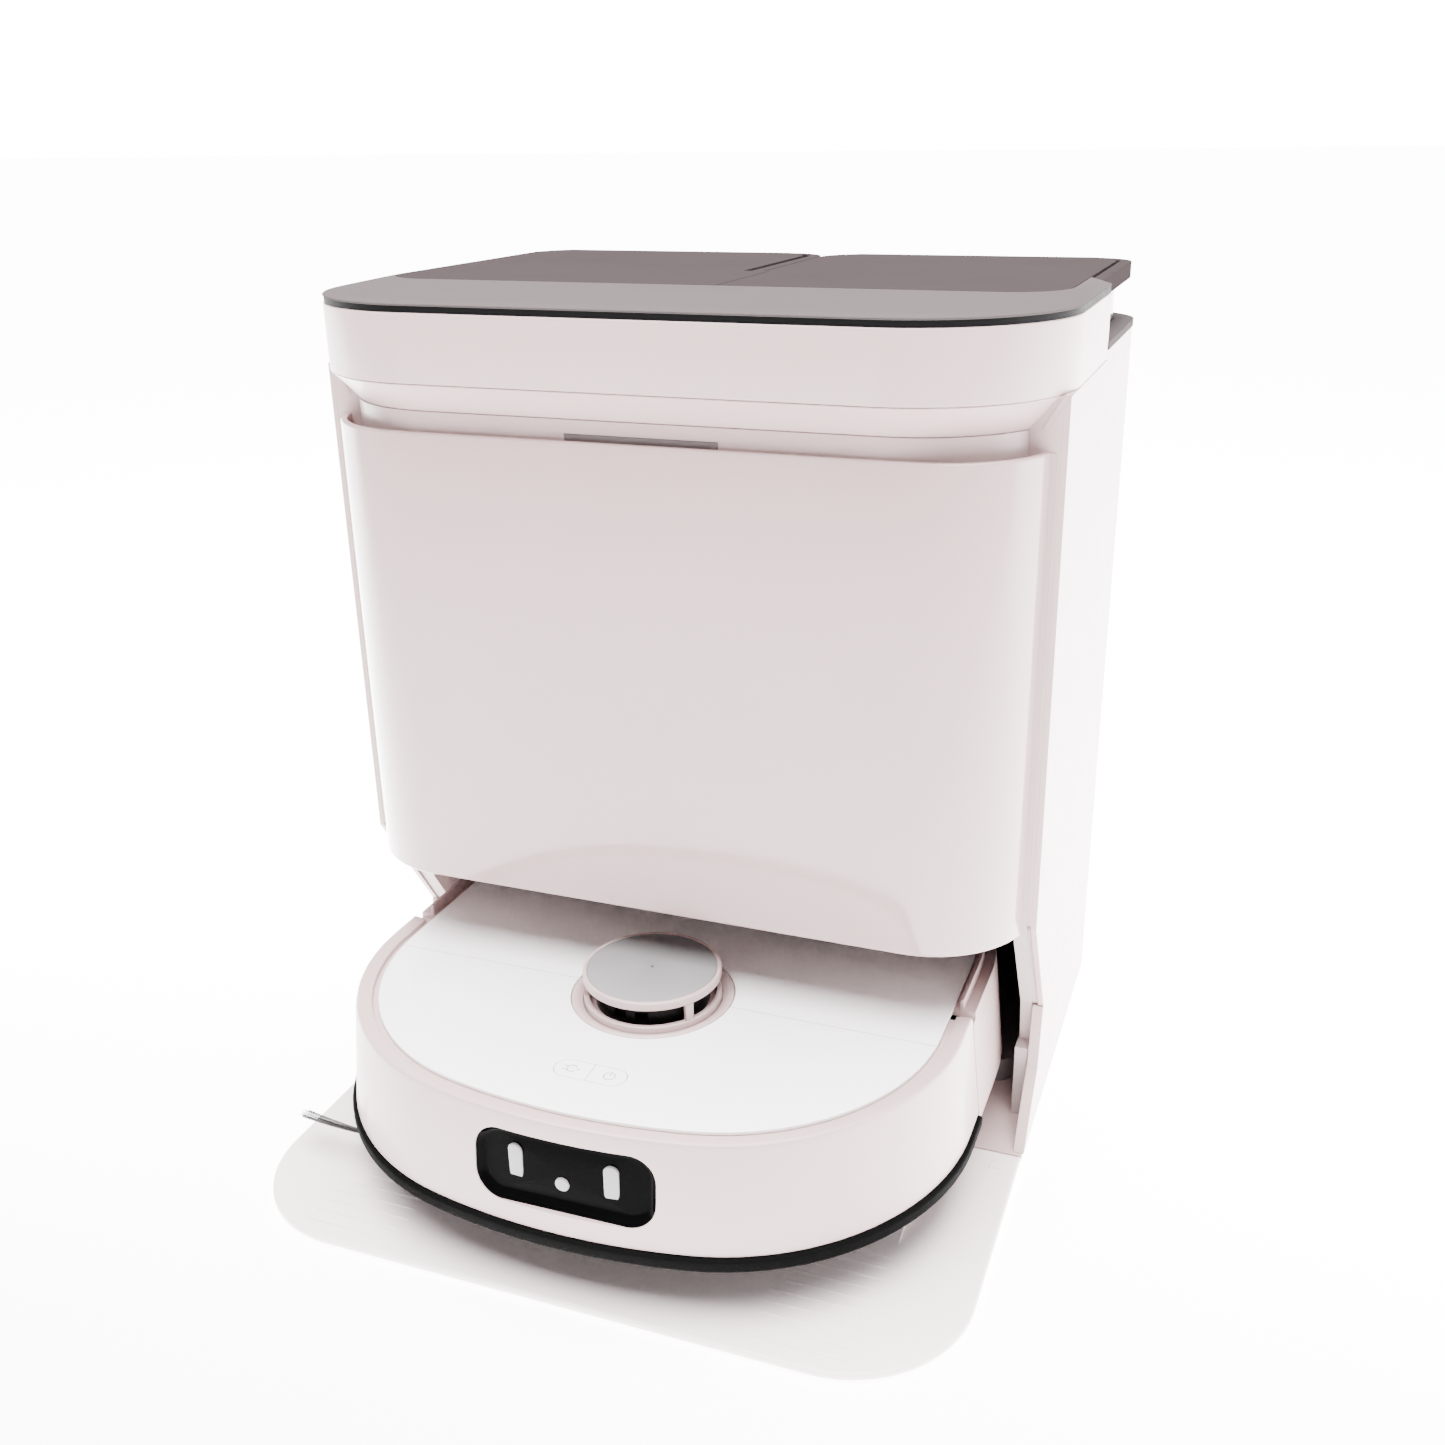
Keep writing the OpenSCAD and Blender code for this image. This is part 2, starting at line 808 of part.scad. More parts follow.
// Seat ring, wall, three posts and roof round the laser unit, moulded in one piece.
module turret_housing() {
    color(white) translate([0, seam_robot_y, 0]) {
        difference() {
            translate([0, 0, 95]) cylinder(h = top_z + 0.6 - 95, r = 44.4);
            translate([0, 0, 97]) cylinder(h = 20, r = turret_r + 0.6);
        }
        difference() {
            translate([0, 0, 96.9]) cylinder(h = 6.5, r = turret_r);
            translate([0, 0, 98.6]) cylinder(h = 20, r = turret_r - 3);
        }
        difference() {
            translate([0, 0, turret_z - roof_h]) cylinder(h = roof_h, r = turret_r);
            translate([0, 0, turret_z - 0.6]) cylinder(h = 20, r = turret_r - 2);
        }
        for (a = [85, 205, 325])
            rotate([0, 0, a])
                translate([turret_r - 2.9, -2.2, 103.3])
                cube([2.4, 4.4, turret_z - roof_h - 103.2]);
    }
}

module turret_cap() {
    color(steel) translate([0, seam_robot_y, turret_z - 0.5]) cylinder(h = 0.5, r = turret_r - 2.2);
}

module laser_rotor() {
    color(black) translate([0, seam_robot_y, 0]) difference() {
        translate([0, 0, 99.2]) cylinder(h = turret_z - roof_h - 0.4 - 99.2, r = 31);
        translate([-9, -32, 103]) cube([7, 6, 5]);
        translate([3, -32, 103]) cube([7, 6, 5]);
    }
}

module drive_wheel(s) {
    color(dark) difference() {
        rod_x(s * wheel_x - 10, s * wheel_x + 10, wheel_y, wheel_z, wheel_d / 2);
        rod_x(s * wheel_x + s * 10 - 4, s * wheel_x + s * 10 + 4, wheel_y, wheel_z, 24);
        rod_x(s * wheel_x - 20, s * wheel_x + 20, wheel_y, wheel_z, 4);
        for (a = [0 : 20 : 340])
            translate([s * wheel_x - 11, wheel_y, wheel_z])
                rotate([a, 0, 0])
                translate([0, wheel_d / 2 - 1.5, -1.5])
                cube([22, 4, 3]);
    }
}

module left_wheel() {
    drive_wheel(-1);
}

module right_wheel() {
    drive_wheel(1);
}

// Suspension arm on one side: it carries the wheel's axle and turns about its rear pivot.
module wheel_arm(s) {
    inner = s * (wheel_x - 17.5);
    color(dark) {
        box(inner - 4, inner + 4, wheel_y - 12, arm_pivot_y, wheel_z - 10, wheel_z + 14);
        rod_x(inner - 4, inner + 4, arm_pivot_y, arm_pivot_z, 12);
        rod_x(s > 0 ? inner : -wheel_x - 7, s > 0 ? wheel_x + 7 : inner, wheel_y, wheel_z, 3.9);
    }
}

module left_wheel_arm() {
    wheel_arm(-1);
}

module right_wheel_arm() {
    wheel_arm(1);
}

module caster_fork() {
    color(dark) translate([0, caster_y, 0]) difference() {
        union() {
            translate([0, 0, 30]) cylinder(h = 14, r = 16.5);
            translate([0, 0, 43]) cylinder(h = 12, r = 5);
        }
        translate([-9, -20, 20]) cube([18, 40, 21.5]);
        rod_x(-20, 20, 0, ride_z + 12.2, 2.1);
    }
}

module caster_wheel() {
    color(dark) translate([0, caster_y, 0]) {
        rod_x(-8, 8, 0, ride_z + 12.2, 8.4);
        rod_x(-7, 7, 0, ride_z + 12.2, 9);
        rod_x(-13, 13, 0, ride_z + 12.2, 2);
    }
}

module main_brush() {
    color(dark) {
        rod_x(-86, 86, brush_y, brush_z, 10);
        for (i = [0 : 5])
            translate([-84, brush_y, brush_z])
                rotate([i * 60, 0, 0])
                translate([0, 6, -1])
                cube([168, brush_r - 6, 2]);
        rod_x(-89, 89, brush_y, brush_z, 3);
    }
}

module side_brush() {
    color(dark) translate([sweep_x, sweep_y, 0]) {
        translate([0, 0, 23]) cylinder(h = 5.6, r = 10);
        translate([0, 0, 28]) cylinder(h = 6, r = 4);
        for (a = [178, 358])
            rotate([0, 0, a])
                translate([0, 0, 23.5])
                linear_extrude(2.2)
                polygon([[5, -2], [40, -2.6], [72, -3.5], [73, 3.5], [40, 2.6], [5, 2]]);
    }
}

module mop_pad(s) {
    color(cloth) translate([s * pad_x, pad_y, 0]) {
        translate([0, 0, ride_z + 0.2]) cylinder(h = 6, r = pad_r);
        translate([0, 0, ride_z + 6]) cylinder(h = 2.4, r = pad_r - 3);
        translate([0, 0, ride_z + 8]) cylinder(h = 8, r = 5);
    }
}

module left_mop_pad() {
    mop_pad(-1);
}

module right_mop_pad() {
    mop_pad(1);
}

module dustbin() {
    color(smoke) difference() {
        box(-75, 75, 20, 92, 42, 95.5);
        box(-72, 72, 23, 89, 45, 100);
        rod_y(10, 30, 0, 70, 14);
    }
}

module battery() {
    color(dark) box(-60, 60, -150, -98, 38, 78);
}

module robot_fan() {
    color(dark) translate([0, -14, 40]) cylinder(h = 34, r = 28);
}

module contact_pair(y0, y1) {
    for (s = [-1, 1])
        box(s * 18 - 5, s * 18 + 5, y0, y1, 46, 56);
}

module robot_contacts() {
    color(steel) contact_pair(126, 133.4);
}

base_ramp();
dock_base();
base_skirt();
rubber_feet();
wash_tray();
housing_shell();
back_panel();
back_screws();
mains_inlet();
cavity_liner();
cavity_side_walls();
charge_block();
dock_contacts();
upper_fascia();
front_frame();
grip_bar();
front_panel();
top_cover();
cover_trim();
tank_deck();
clean_tank();
dirty_tank();
clean_tank_lid();
dirty_tank_lid();
clean_tank_handle();
dirty_tank_handle();
dust_bay();
dust_bag();
suction_motor();
water_pump();
drying_fan();
control_board();
power_supply();
robot_chassis();
rear_shell();
front_top_cover();
rear_top_cover();
bumper();
bumper_strip();
sensor_window();
sensor_lenses();
turret_housing();
turret_cap();
laser_rotor();
spot_key();
power_key();
left_wheel();
right_wheel();
left_wheel_arm();
right_wheel_arm();
caster_fork();
caster_wheel();
main_brush();
side_brush();
left_mop_pad();
right_mop_pad();
dustbin();
battery();
robot_fan();
robot_contacts();
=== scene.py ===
import math
import bpy
import bmesh
from mathutils import Matrix, Vector

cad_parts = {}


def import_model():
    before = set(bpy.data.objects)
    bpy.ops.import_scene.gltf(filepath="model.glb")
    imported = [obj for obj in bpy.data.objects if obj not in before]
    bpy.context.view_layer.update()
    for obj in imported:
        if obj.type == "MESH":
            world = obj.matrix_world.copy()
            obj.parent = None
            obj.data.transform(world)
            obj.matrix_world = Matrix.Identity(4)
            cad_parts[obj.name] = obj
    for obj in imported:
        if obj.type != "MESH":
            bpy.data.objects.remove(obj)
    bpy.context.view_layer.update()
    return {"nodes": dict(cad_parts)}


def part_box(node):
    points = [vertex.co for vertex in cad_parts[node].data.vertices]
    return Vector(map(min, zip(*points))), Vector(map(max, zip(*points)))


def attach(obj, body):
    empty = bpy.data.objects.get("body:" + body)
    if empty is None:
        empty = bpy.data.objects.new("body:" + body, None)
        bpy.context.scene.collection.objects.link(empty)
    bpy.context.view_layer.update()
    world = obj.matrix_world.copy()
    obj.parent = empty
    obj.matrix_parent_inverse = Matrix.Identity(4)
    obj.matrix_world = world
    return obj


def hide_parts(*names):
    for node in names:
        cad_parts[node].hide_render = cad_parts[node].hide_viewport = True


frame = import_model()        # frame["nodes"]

# Sizes in metres that the boxes of the CAD nodes don't give.
CORNER_X = 0.041       # the robot's corner circles stand this far from its middle line
NOSE_Y = -0.078        # front corner circles
TAIL_Y = -0.005        # rear corner circles
ARC_R = 0.333          # flat arcs across the robot's front and rear
WALL_LOW = 0.0428      # foot of the robot's drafted wall
WALL_HIGH = 0.0989     # lip the two covers lie on
WALL_DRAFT = 0.0055    # how far the wall leans in between the two
COVER_INSET = 0.0175   # from the robot's outline to its covers
SEAM = 0.0005          # gap between the front and the rear cover
TURRET_Y = -0.087
TURRET_R = 0.0375
KEY_Y = -0.1655
BRUSH_X, BRUSH_Y = -0.118, -0.160
BRUSH_Z = 0.0247
BRUSH_ARMS = (178, 358)
BAND_R = 0.080         # front corners of the station's band and cover
PLATE_T = 0.005        # thickness of the ramp plate
PANE_DEPTH = 0.0041    # how far the sensor pane lies behind the bumper's face
TINY = 1e-5


# ---------- plans, in metres ----------

def arc(cx, cy, r, a0, a1, n):
    """Points on a circle from angle a0 to a1, in degrees."""
    out = []
    for k in range(n + 1):
        a = math.radians(a0 + (a1 - a0) * k / n)
        out.append((cx + r * math.cos(a), cy + r * math.sin(a)))
    return out


def round_rect(x0, x1, y0, y1, rf, rr, n=14):
    """Plan function: a rectangle with rounded front and rear corners, inset by i."""
    def path(i):
        f, b = max(rf - i, TINY), max(rr - i, TINY)
        cf, cb = max(rf, i + TINY), max(rr, i + TINY)
        return (arc(x0 + cf, y0 + cf, f, 180, 270, n) + arc(x1 - cf, y0 + cf, f, 270, 360, n)
                + arc(x1 - cb, y1 - cb, b, 0, 90, n) + arc(x0 + cb, y1 - cb, b, 90, 180, n))
    return path


def open_front(x_half, y0, r, y_end, n=20):
    """Plan function of an open path: left end, round the front, right end."""
    def path(i):
        q = max(r - i, TINY)
        pts = [(-x_half + i, y_end)]
        pts += arc(-x_half + r, y0 + r, q, 180, 270, n)
        pts += arc(x_half - r, y0 + r, q, 270, 360, n)
        return pts + [(x_half - i, y_end)]
    return path


def shape_values():
    """The robot's rounded square plan, rebuilt from the CAD box of its bumper."""
    low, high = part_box("bumper")
    half = (high.x - low.x) / 2
    corner_r = half - CORNER_X
    reach = math.sqrt((ARC_R - corner_r) ** 2 - CORNER_X ** 2)
    return {"half": half, "corner_r": corner_r, "front": low.y,
            "nose_arc_y": NOSE_Y + reach, "tail_arc_y": TAIL_Y - reach}


D = shape_values()


def nose_points(i, n):
    """Left nose corner, front arc and right nose corner of the robot, inset by i."""
    tip = math.degrees(math.atan2(NOSE_Y - D["nose_arc_y"], CORNER_X))
    r = D["corner_r"] - i
    mid = arc(0, D["nose_arc_y"], ARC_R - i, 180 - tip, 360 + tip, n)
    left = arc(-CORNER_X, NOSE_Y, r, 180, 180 - tip, n)
    right = arc(CORNER_X, NOSE_Y, r, 360 + tip, 360, n)
    return left + mid[1:-1] + right


def tail_points(i, n):
    """Right rear corner, rear arc and left rear corner of the robot, inset by i."""
    tip = math.degrees(math.atan2(TAIL_Y - D["tail_arc_y"], CORNER_X))
    r = D["corner_r"] - i
    mid = arc(0, D["tail_arc_y"], ARC_R - i, tip, 180 - tip, n)
    right = arc(CORNER_X, TAIL_Y, r, 0, tip, n)
    left = arc(-CORNER_X, TAIL_Y, r, 180 - tip, 180, n)
    return right + mid[1:-1] + left


def robot_plan(n):
    """Closed plan function of the robot's body."""
    def path(i):
        return nose_points(i, n) + tail_points(i, n)
    return path


def bumper_plan(y_end, n):
    """Open plan function of the bumper, from its left end round the nose to its right end."""
    def path(i):
        return [(-D["half"] + i, y_end)] + nose_points(i, n) + [(D["half"] - i, y_end)]
    return path


def lean(z):
    """How far the robot's drafted wall stands in at height z."""
    return WALL_DRAFT * (z - WALL_LOW) / (WALL_HIGH - WALL_LOW)


# ---------- mesh helpers ----------

def rounded(profile, radius, seg=4, closed=True):
    """A (inset, z) outline with its corners rounded; radius may be one number or one per corner."""
    n = len(profile)
    out = []
    for k, p in enumerate(profile):
        r = radius if isinstance(radius, (int, float)) else radius[k]
        if r <= 0 or (not closed and k in (0, n - 1)):
            out.append(tuple(p))
            continue
        p = Vector(p)
        a, b = Vector(profile[k - 1]) - p, Vector(profile[(k + 1) % n]) - p
        turn = a.angle(b)
        cut = min(r / math.tan(turn / 2), a.length * 0.49, b.length * 0.49)
        r = cut * math.tan(turn / 2)
        s, e = p + a.normalized() * cut, p + b.normalized() * cut
        c = p + (a.normalized() + b.normalized()).normalized() * (r / math.sin(turn / 2))
        u, v = s - c, e - c
        ang = u.angle(v)
        for t in range(seg + 1):
            f = t / seg
            w = (math.sin((1 - f) * ang) * u + math.sin(f * ang) * v) / math.sin(ang)
            out.append(tuple(c + w))
    return out


def shade(bm, sharp):
    """Smooth faces with sharp edges where two faces meet at more than sharp degrees."""
    limit = math.radians(sharp)
    for f in bm.faces:
        f.smooth = True
    for ed in bm.edges:
        ed.smooth = not (len(ed.link_faces) == 2 and ed.calc_face_angle(0) > limit)


def linked_object(name, bm):
    """A new object in the scene that holds the bmesh."""
    me = bpy.data.meshes.new(name)
    bm.to_mesh(me)
    bm.free()
    ob = bpy.data.objects.new(name, me)
    bpy.context.scene.collection.objects.link(ob)
    return ob


def mesh_object(name, bm, material, body, replaces=(), sharp=32):
    """Turns a bmesh into a finished piece: normals, sharp edges, material and body, and hides the CAD nodes
    it replaces.
    """
    bmesh.ops.remove_doubles(bm, verts=bm.verts, dist=2e-6)
    bmesh.ops.dissolve_degenerate(bm, edges=bm.edges, dist=1e-6)
    bmesh.ops.recalc_face_normals(bm, faces=bm.faces)
    shade(bm, sharp)
    ob = linked_object(name, bm)
    ob.data.materials.append(material)
    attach(ob, body)
    if replaces:
        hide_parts(*replaces)
    return ob


def ring_into(bm, points, z):
    """Vertices at the points of a plan, all at height z."""
    return [bm.verts.new((x, y, z)) for x, y in points]


def bridge(bm, rings, around=True, loop=False):
    """Faces between neighbouring rings; around closes each ring, loop joins the last ring to the first."""
    for r, s in zip(rings, rings[1:] + rings[:1] if loop else rings[1:]):
        n = len(r)
        for k in range(n if around else n - 1):
            q = (k + 1) % n
            bm.faces.new((r[k], r[q], s[q], s[k]))


def cap_rings(bm, rings):
    """Closes the first and the last ring with a face each."""
    bm.faces.new(list(reversed(rings[0])))
    bm.faces.new(rings[-1])


def cap_ends(bm, rings):
    """Closes the two ends of a skin whose rings are open."""
    bm.faces.new([r[0] for r in rings])
    bm.faces.new([r[-1] for r in reversed(rings)])


def sweep_into(bm, path, profile):
    """Adds a closed (inset, z) profile swept along an open plan to a bmesh."""
    rings = [ring_into(bm, path(i), z) for i, z in profile]
    bridge(bm, rings, around=False, loop=True)
    cap_ends(bm, rings)


def plate_into(bm, path, profile):
    """Adds a solid plate: a plan swept up an open (inset, z) profile and capped at both ends."""
    rings = [ring_into(bm, path(i), z) for i, z in profile]
    bridge(bm, rings)
    cap_rings(bm, rings)


def plate_profile(z0, z1, r_low, r_high, seg=4):
    """Open profile of a plate with rounded lower and upper edges."""
    deep = 2 * max(r_low, r_high) + 1e-4
    return rounded([(deep, z0), (0, z0), (0, z1), (deep, z1)], [0, r_low, r_high, 0], seg, closed=False)


def turned_into(bm, cx, cy, profile, n):
    """Adds a solid of revolution about a vertical axis; profile is (radius, z), closed."""
    rings = [ring_into(bm, arc(cx, cy, r, 0, 360, n)[:-1], z) for r, z in profile]
    bridge(bm, rings, loop=True)


def box_into(bm, x0, x1, y0, y1, z0, z1):
    """Adds a box to a bmesh."""
    for v in bmesh.ops.create_cube(bm, size=1.0)["verts"]:
        v.co = Vector((x0 + (v.co.x + 0.5) * (x1 - x0), y0 + (v.co.y + 0.5) * (y1 - y0),
                       z0 + (v.co.z + 0.5) * (z1 - z0)))


def cut(ob, cutter):
    """Subtracts one mesh object from another and removes the cutter."""
    mod = ob.modifiers.new("cut", "BOOLEAN")
    mod.operation = "DIFFERENCE"
    mod.solver = "EXACT"
    mod.object = cutter
    dg = bpy.context.evaluated_depsgraph_get()
    me = bpy.data.meshes.new_from_object(ob.evaluated_get(dg))
    ob.modifiers.clear()
    old = ob.data
    ob.data = me
    bpy.data.meshes.remove(old)
    bpy.data.objects.remove(cutter)
    bm = bmesh.new()
    bm.from_mesh(ob.data)
    shade(bm, 32)
    bm.to_mesh(ob.data)
    bm.free()


def tool_mesh(name, bm):
    """A closed mesh that cuts another one."""
    bmesh.ops.recalc_face_normals(bm, faces=bm.faces)
    return linked_object(name, bm)


# ---------- materials ----------

def surface(name, color, rough, *, vary=0.02, grain=0.05, grain_scale=900.0, rough_vary=0.05,
            metallic=0.0, coat=0.0, edge=0.0, transmission=0.0, ior=1.5, spec=0.5, bevel=0.0, sheen=0.0):
    """A plastic, rubber or metal skin: broad tone and gloss patches, fine grain, softened edges and, where
    edge is set, a painted highlight on convex edges.
    """
    m = bpy.data.materials.new(name)
    m.use_nodes = True
    nt = m.node_tree
    nodes, links = nt.nodes, nt.links
    bsdf = nodes["Principled BSDF"]
    where = nodes.new("ShaderNodeTexCoord")
    patch = nodes.new("ShaderNodeTexNoise")
    patch.inputs["Scale"].default_value = 14.0
    patch.inputs["Detail"].default_value = 5.0
    links.new(where.outputs["Object"], patch.inputs["Vector"])
    tone = nodes.new("ShaderNodeValToRGB")
    low = [max(0.0, c * (1 - vary)) for c in color]
    high = [min(1.0, c * (1 + vary)) for c in color]
    tone.color_ramp.elements[0].color = (*low, 1)
    tone.color_ramp.elements[1].color = (*high, 1)
    tone.color_ramp.elements[0].position = 0.3
    tone.color_ramp.elements[1].position = 0.7
    links.new(patch.outputs["Fac"], tone.inputs["Fac"])
    colour_out = tone.outputs["Color"]
    # edge > 0 paints a highlight: convex edges, found by Pointiness, are mixed up to edge towards a lighter
    # colour, standing in for edges that catch the light.
    if edge:
        geo = nodes.new("ShaderNodeNewGeometry")
        edge_highlight = nodes.new("ShaderNodeMapRange")
        edge_highlight.inputs["From Min"].default_value = 0.52
        edge_highlight.inputs["From Max"].default_value = 0.60
        edge_highlight.inputs["To Max"].default_value = edge
        mix = nodes.new("ShaderNodeMix")
        mix.data_type = "RGBA"
        highlight_colour = [min(1.0, c * 1.25 + 0.03) for c in color]
        mix.inputs["B"].default_value = (*highlight_colour, 1)
        links.new(geo.outputs["Pointiness"], edge_highlight.inputs["Value"])
        links.new(edge_highlight.outputs["Result"], mix.inputs["Factor"])
        links.new(colour_out, mix.inputs["A"])
        colour_out = mix.outputs["Result"]
    links.new(colour_out, bsdf.inputs["Base Color"])
    smear = nodes.new("ShaderNodeTexNoise")
    smear.inputs["Scale"].default_value = 55.0
    smear.inputs["Detail"].default_value = 6.0
    smear.inputs["Roughness"].default_value = 0.6
    links.new(where.outputs["Object"], smear.inputs["Vector"])
    gloss = nodes.new("ShaderNodeMapRange")
    gloss.inputs["From Min"].default_value = 0.3
    gloss.inputs["From Max"].default_value = 0.7
    gloss.inputs["To Min"].default_value = max(0.02, rough - rough_vary)
    gloss.inputs["To Max"].default_value = min(1.0, rough + rough_vary)
    links.new(smear.outputs["Fac"], gloss.inputs["Value"])
    links.new(gloss.outputs["Result"], bsdf.inputs["Roughness"])
    fine = nodes.new("ShaderNodeTexNoise")
    fine.inputs["Scale"].default_value = grain_scale
    fine.inputs["Detail"].default_value = 3.0
    links.new(where.outputs["Object"], fine.inputs["Vector"])
    bump = nodes.new("ShaderNodeBump")
    bump.inputs["Strength"].default_value = grain
    bump.inputs["Distance"].default_value = 0.0002
    links.new(fine.outputs["Fac"], bump.inputs["Height"])
    if bevel:
        soft = nodes.new("ShaderNodeBevel")
        soft.samples = 4
        soft.inputs["Radius"].default_value = bevel
        links.new(soft.outputs["Normal"], bump.inputs["Normal"])
    links.new(bump.outputs["Normal"], bsdf.inputs["Normal"])
    bsdf.inputs["Metallic"].default_value = metallic
    bsdf.inputs["Coat Weight"].default_value = coat
    bsdf.inputs["Coat Roughness"].default_value = 0.04
    bsdf.inputs["IOR"].default_value = ior
    bsdf.inputs["Specular IOR Level"].default_value = spec
    bsdf.inputs["Transmission Weight"].default_value = transmission
    bsdf.inputs["Sheen Weight"].default_value = sheen
    return m


def brushed(name, color):
    """Satin metallic paint with a fine circular grain."""
    m = surface(name, color, 0.48, vary=0.03, metallic=0.35, grain=0.04, grain_scale=1400, coat=0.2)
    m.node_tree.nodes["Principled BSDF"].inputs["Anisotropic"].default_value = 0.3
    return m


def cloth(name, color, scale):
    """Looped pile: a strong cellular bump over broad tone patches."""
    m = surface(name, color, 0.92, vary=0.12, grain=0.9, grain_scale=scale, sheen=0.4)
    nt = m.node_tree
    where = nt.nodes["Texture Coordinate"]
    cells = nt.nodes.new("ShaderNodeTexVoronoi")
    cells.inputs["Scale"].default_value = scale
    bump = nt.nodes.new("ShaderNodeBump")
    bump.inputs["Strength"].default_value = 0.8
    bump.inputs["Distance"].default_value = 0.0008
    nt.links.new(where.outputs["Object"], cells.inputs["Vector"])
    nt.links.new(cells.outputs["Distance"], bump.inputs["Height"])
    nt.links.new(nt.nodes["Bump"].outputs["Normal"], bump.inputs["Normal"])
    nt.links.new(bump.outputs["Normal"], nt.nodes["Principled BSDF"].inputs["Normal"])
    return m


def make_materials():
    """All materials of the object by key, each with its colour, gloss and grain; the whites are lit and
    shaded copies of one white, so their colours hold painted light and shade.
    """
    return {
        # white_plastic, white_matte and panel_gloss are darker copies of the white: painted shade on the
        # upright faces of the station, the bumper and the turret.
        "white": surface("white_plastic", (0.47, 0.350, 0.342), 0.38, coat=0.15, grain=0.05, edge=0.2,
                         bevel=0.0006),
        "white_matte": surface("white_matte", (0.47, 0.355, 0.347), 0.55, grain=0.25, grain_scale=1500,
                               bevel=0.0006),
        # ramp_white is a lighter copy of the same white: painted light on the top of the ramp plate.
        "ramp": surface("ramp_white", (0.80, 0.70, 0.695), 0.38, coat=0.15, grain=0.05, bevel=0.0005),
        "panel": surface("panel_gloss", (0.44, 0.325, 0.318), 0.12, coat=0.3, grain=0.015,
                         grain_scale=260, vary=0.012, rough_vary=0.03),
        # robot_gloss is a lighter copy of the same white: painted light on the robot's top covers.
        "robot": surface("robot_gloss", (0.95, 0.92, 0.915), 0.2, coat=0.5, grain=0.02, grain_scale=300,
                         vary=0.008),
        "cover": surface("cover_grey", (0.062, 0.052, 0.053), 0.6, spec=0.0, grain=0.3, grain_scale=1700,
                         vary=0.03, rough_vary=0.02, edge=0.2, bevel=0.0005),
        "lid": surface("lid_grey", (0.029, 0.023, 0.0235), 0.62, spec=0.0, grain=0.25, grain_scale=1700,
                       vary=0.03, rough_vary=0.02, bevel=0.0005),
        "tray": surface("tray_grey", (0.20, 0.165, 0.165), 0.5, grain=0.25, grain_scale=1500, bevel=0.0005),
        "wall_grey": surface("wall_grey", (0.42, 0.36, 0.355), 0.5, grain=0.25, grain_scale=1500,
                             bevel=0.0005),
        "grip": surface("grip_grey", (0.125, 0.10, 0.102), 0.5, grain=0.25, grain_scale=1500, bevel=0.0004),
        "dark": surface("dark_plastic", (0.022, 0.020, 0.020), 0.52, grain=0.3, grain_scale=1500, vary=0.08,
                        edge=0.25, bevel=0.0005),
        "black": surface("black_plastic", (0.004, 0.004, 0.0042), 0.6, grain=0.2, vary=0.08, spec=0.05,
                         bevel=0.0004),
        "black_gloss": surface("black_gloss", (0.0012, 0.0012, 0.0013), 0.10, grain=0.01, vary=0.05,
                               rough_vary=0.02, spec=0.012),
        "rotor": surface("rotor_black", (0.004, 0.004, 0.004), 0.3, grain=0.05, vary=0.05, spec=0.1),
        "smoke": surface("smoked_clear", (0.30, 0.285, 0.28), 0.12, transmission=0.75, grain=0.03,
                         bevel=0.0006, ior=1.49),
        "lens": surface("lens_grey", (0.20, 0.19, 0.19), 0.25, coat=0.5, grain=0.03, vary=0.03),
        "silver": brushed("silver_disc", (0.26, 0.253, 0.256)),
        "steel": surface("steel", (0.55, 0.55, 0.56), 0.3, metallic=1.0, grain=0.15, bevel=0.0003),
        "gold": surface("contact_metal", (0.80, 0.60, 0.28), 0.25, metallic=1.0, grain=0.05, bevel=0.0003),
        "feet": surface("feet_rubber", (0.03, 0.03, 0.03), 0.8, grain=0.3, bevel=0.0005),
        "strip": surface("strip_rubber", (0.0018, 0.0018, 0.0018), 0.7, grain=0.25, grain_scale=1200,
                         vary=0.08, spec=0.02),
        "tyre": surface("wheel_tyre", (0.020, 0.020, 0.020), 0.75, grain=0.4, vary=0.1, edge=0.3,
                        bevel=0.0005),
        "brush": surface("brush_rubber", (0.05, 0.05, 0.055), 0.6, grain=0.3, vary=0.1, bevel=0.0004),
        "bristle": surface("bristle_grey", (0.045, 0.043, 0.045), 0.5, grain=0.1, vary=0.2),
        "mop": cloth("mop_fabric", (0.34, 0.34, 0.325), 700.0),
        "bag": cloth("bag_cloth", (0.62, 0.61, 0.57), 400.0),
        "board": surface("board_green", (0.02, 0.11, 0.05), 0.35, grain=0.3, vary=0.1, bevel=0.0003),
        "mark": surface("mark_grey", (0.12, 0.11, 0.11), 0.5, grain=0.05, vary=0.03),
    }


CARRIED = {
    "white": ["dock_base", "base_skirt", "front_frame", "housing_shell", "rear_shell"],
    "white_matte": ["back_panel"],
    "tray": ["wash_tray"],
    "wall_grey": ["cavity_side_walls"],
    "grip": ["grip_bar"],
    "cover": ["tank_deck"],
    "lid": ["clean_tank_lid", "dirty_tank_lid", "clean_tank_handle", "dirty_tank_handle"],
    "smoke": ["clean_tank", "dirty_tank", "dustbin"],
    # cavity_liner is dressed black; its side strips are painted shade, standing for the shadowed back part of
    # the grey cavity side walls.
    "black": ["mains_inlet", "cavity_liner", "cover_trim"],
    "dark": ["charge_block", "dust_bay", "suction_motor", "water_pump", "drying_fan", "power_supply",
             "robot_chassis", "left_wheel_arm", "right_wheel_arm", "caster_fork", "battery", "robot_fan"],
    "rotor": ["laser_rotor"],
    "tyre": ["left_wheel", "right_wheel", "caster_wheel"],
    "brush": ["main_brush"],
    "mop": ["left_mop_pad", "right_mop_pad"],
    "bag": ["dust_bag"],
    "board": ["control_board"],
    "steel": ["back_screws"],
    "gold": ["dock_contacts", "robot_contacts"],
    "feet": ["rubber_feet"],
}


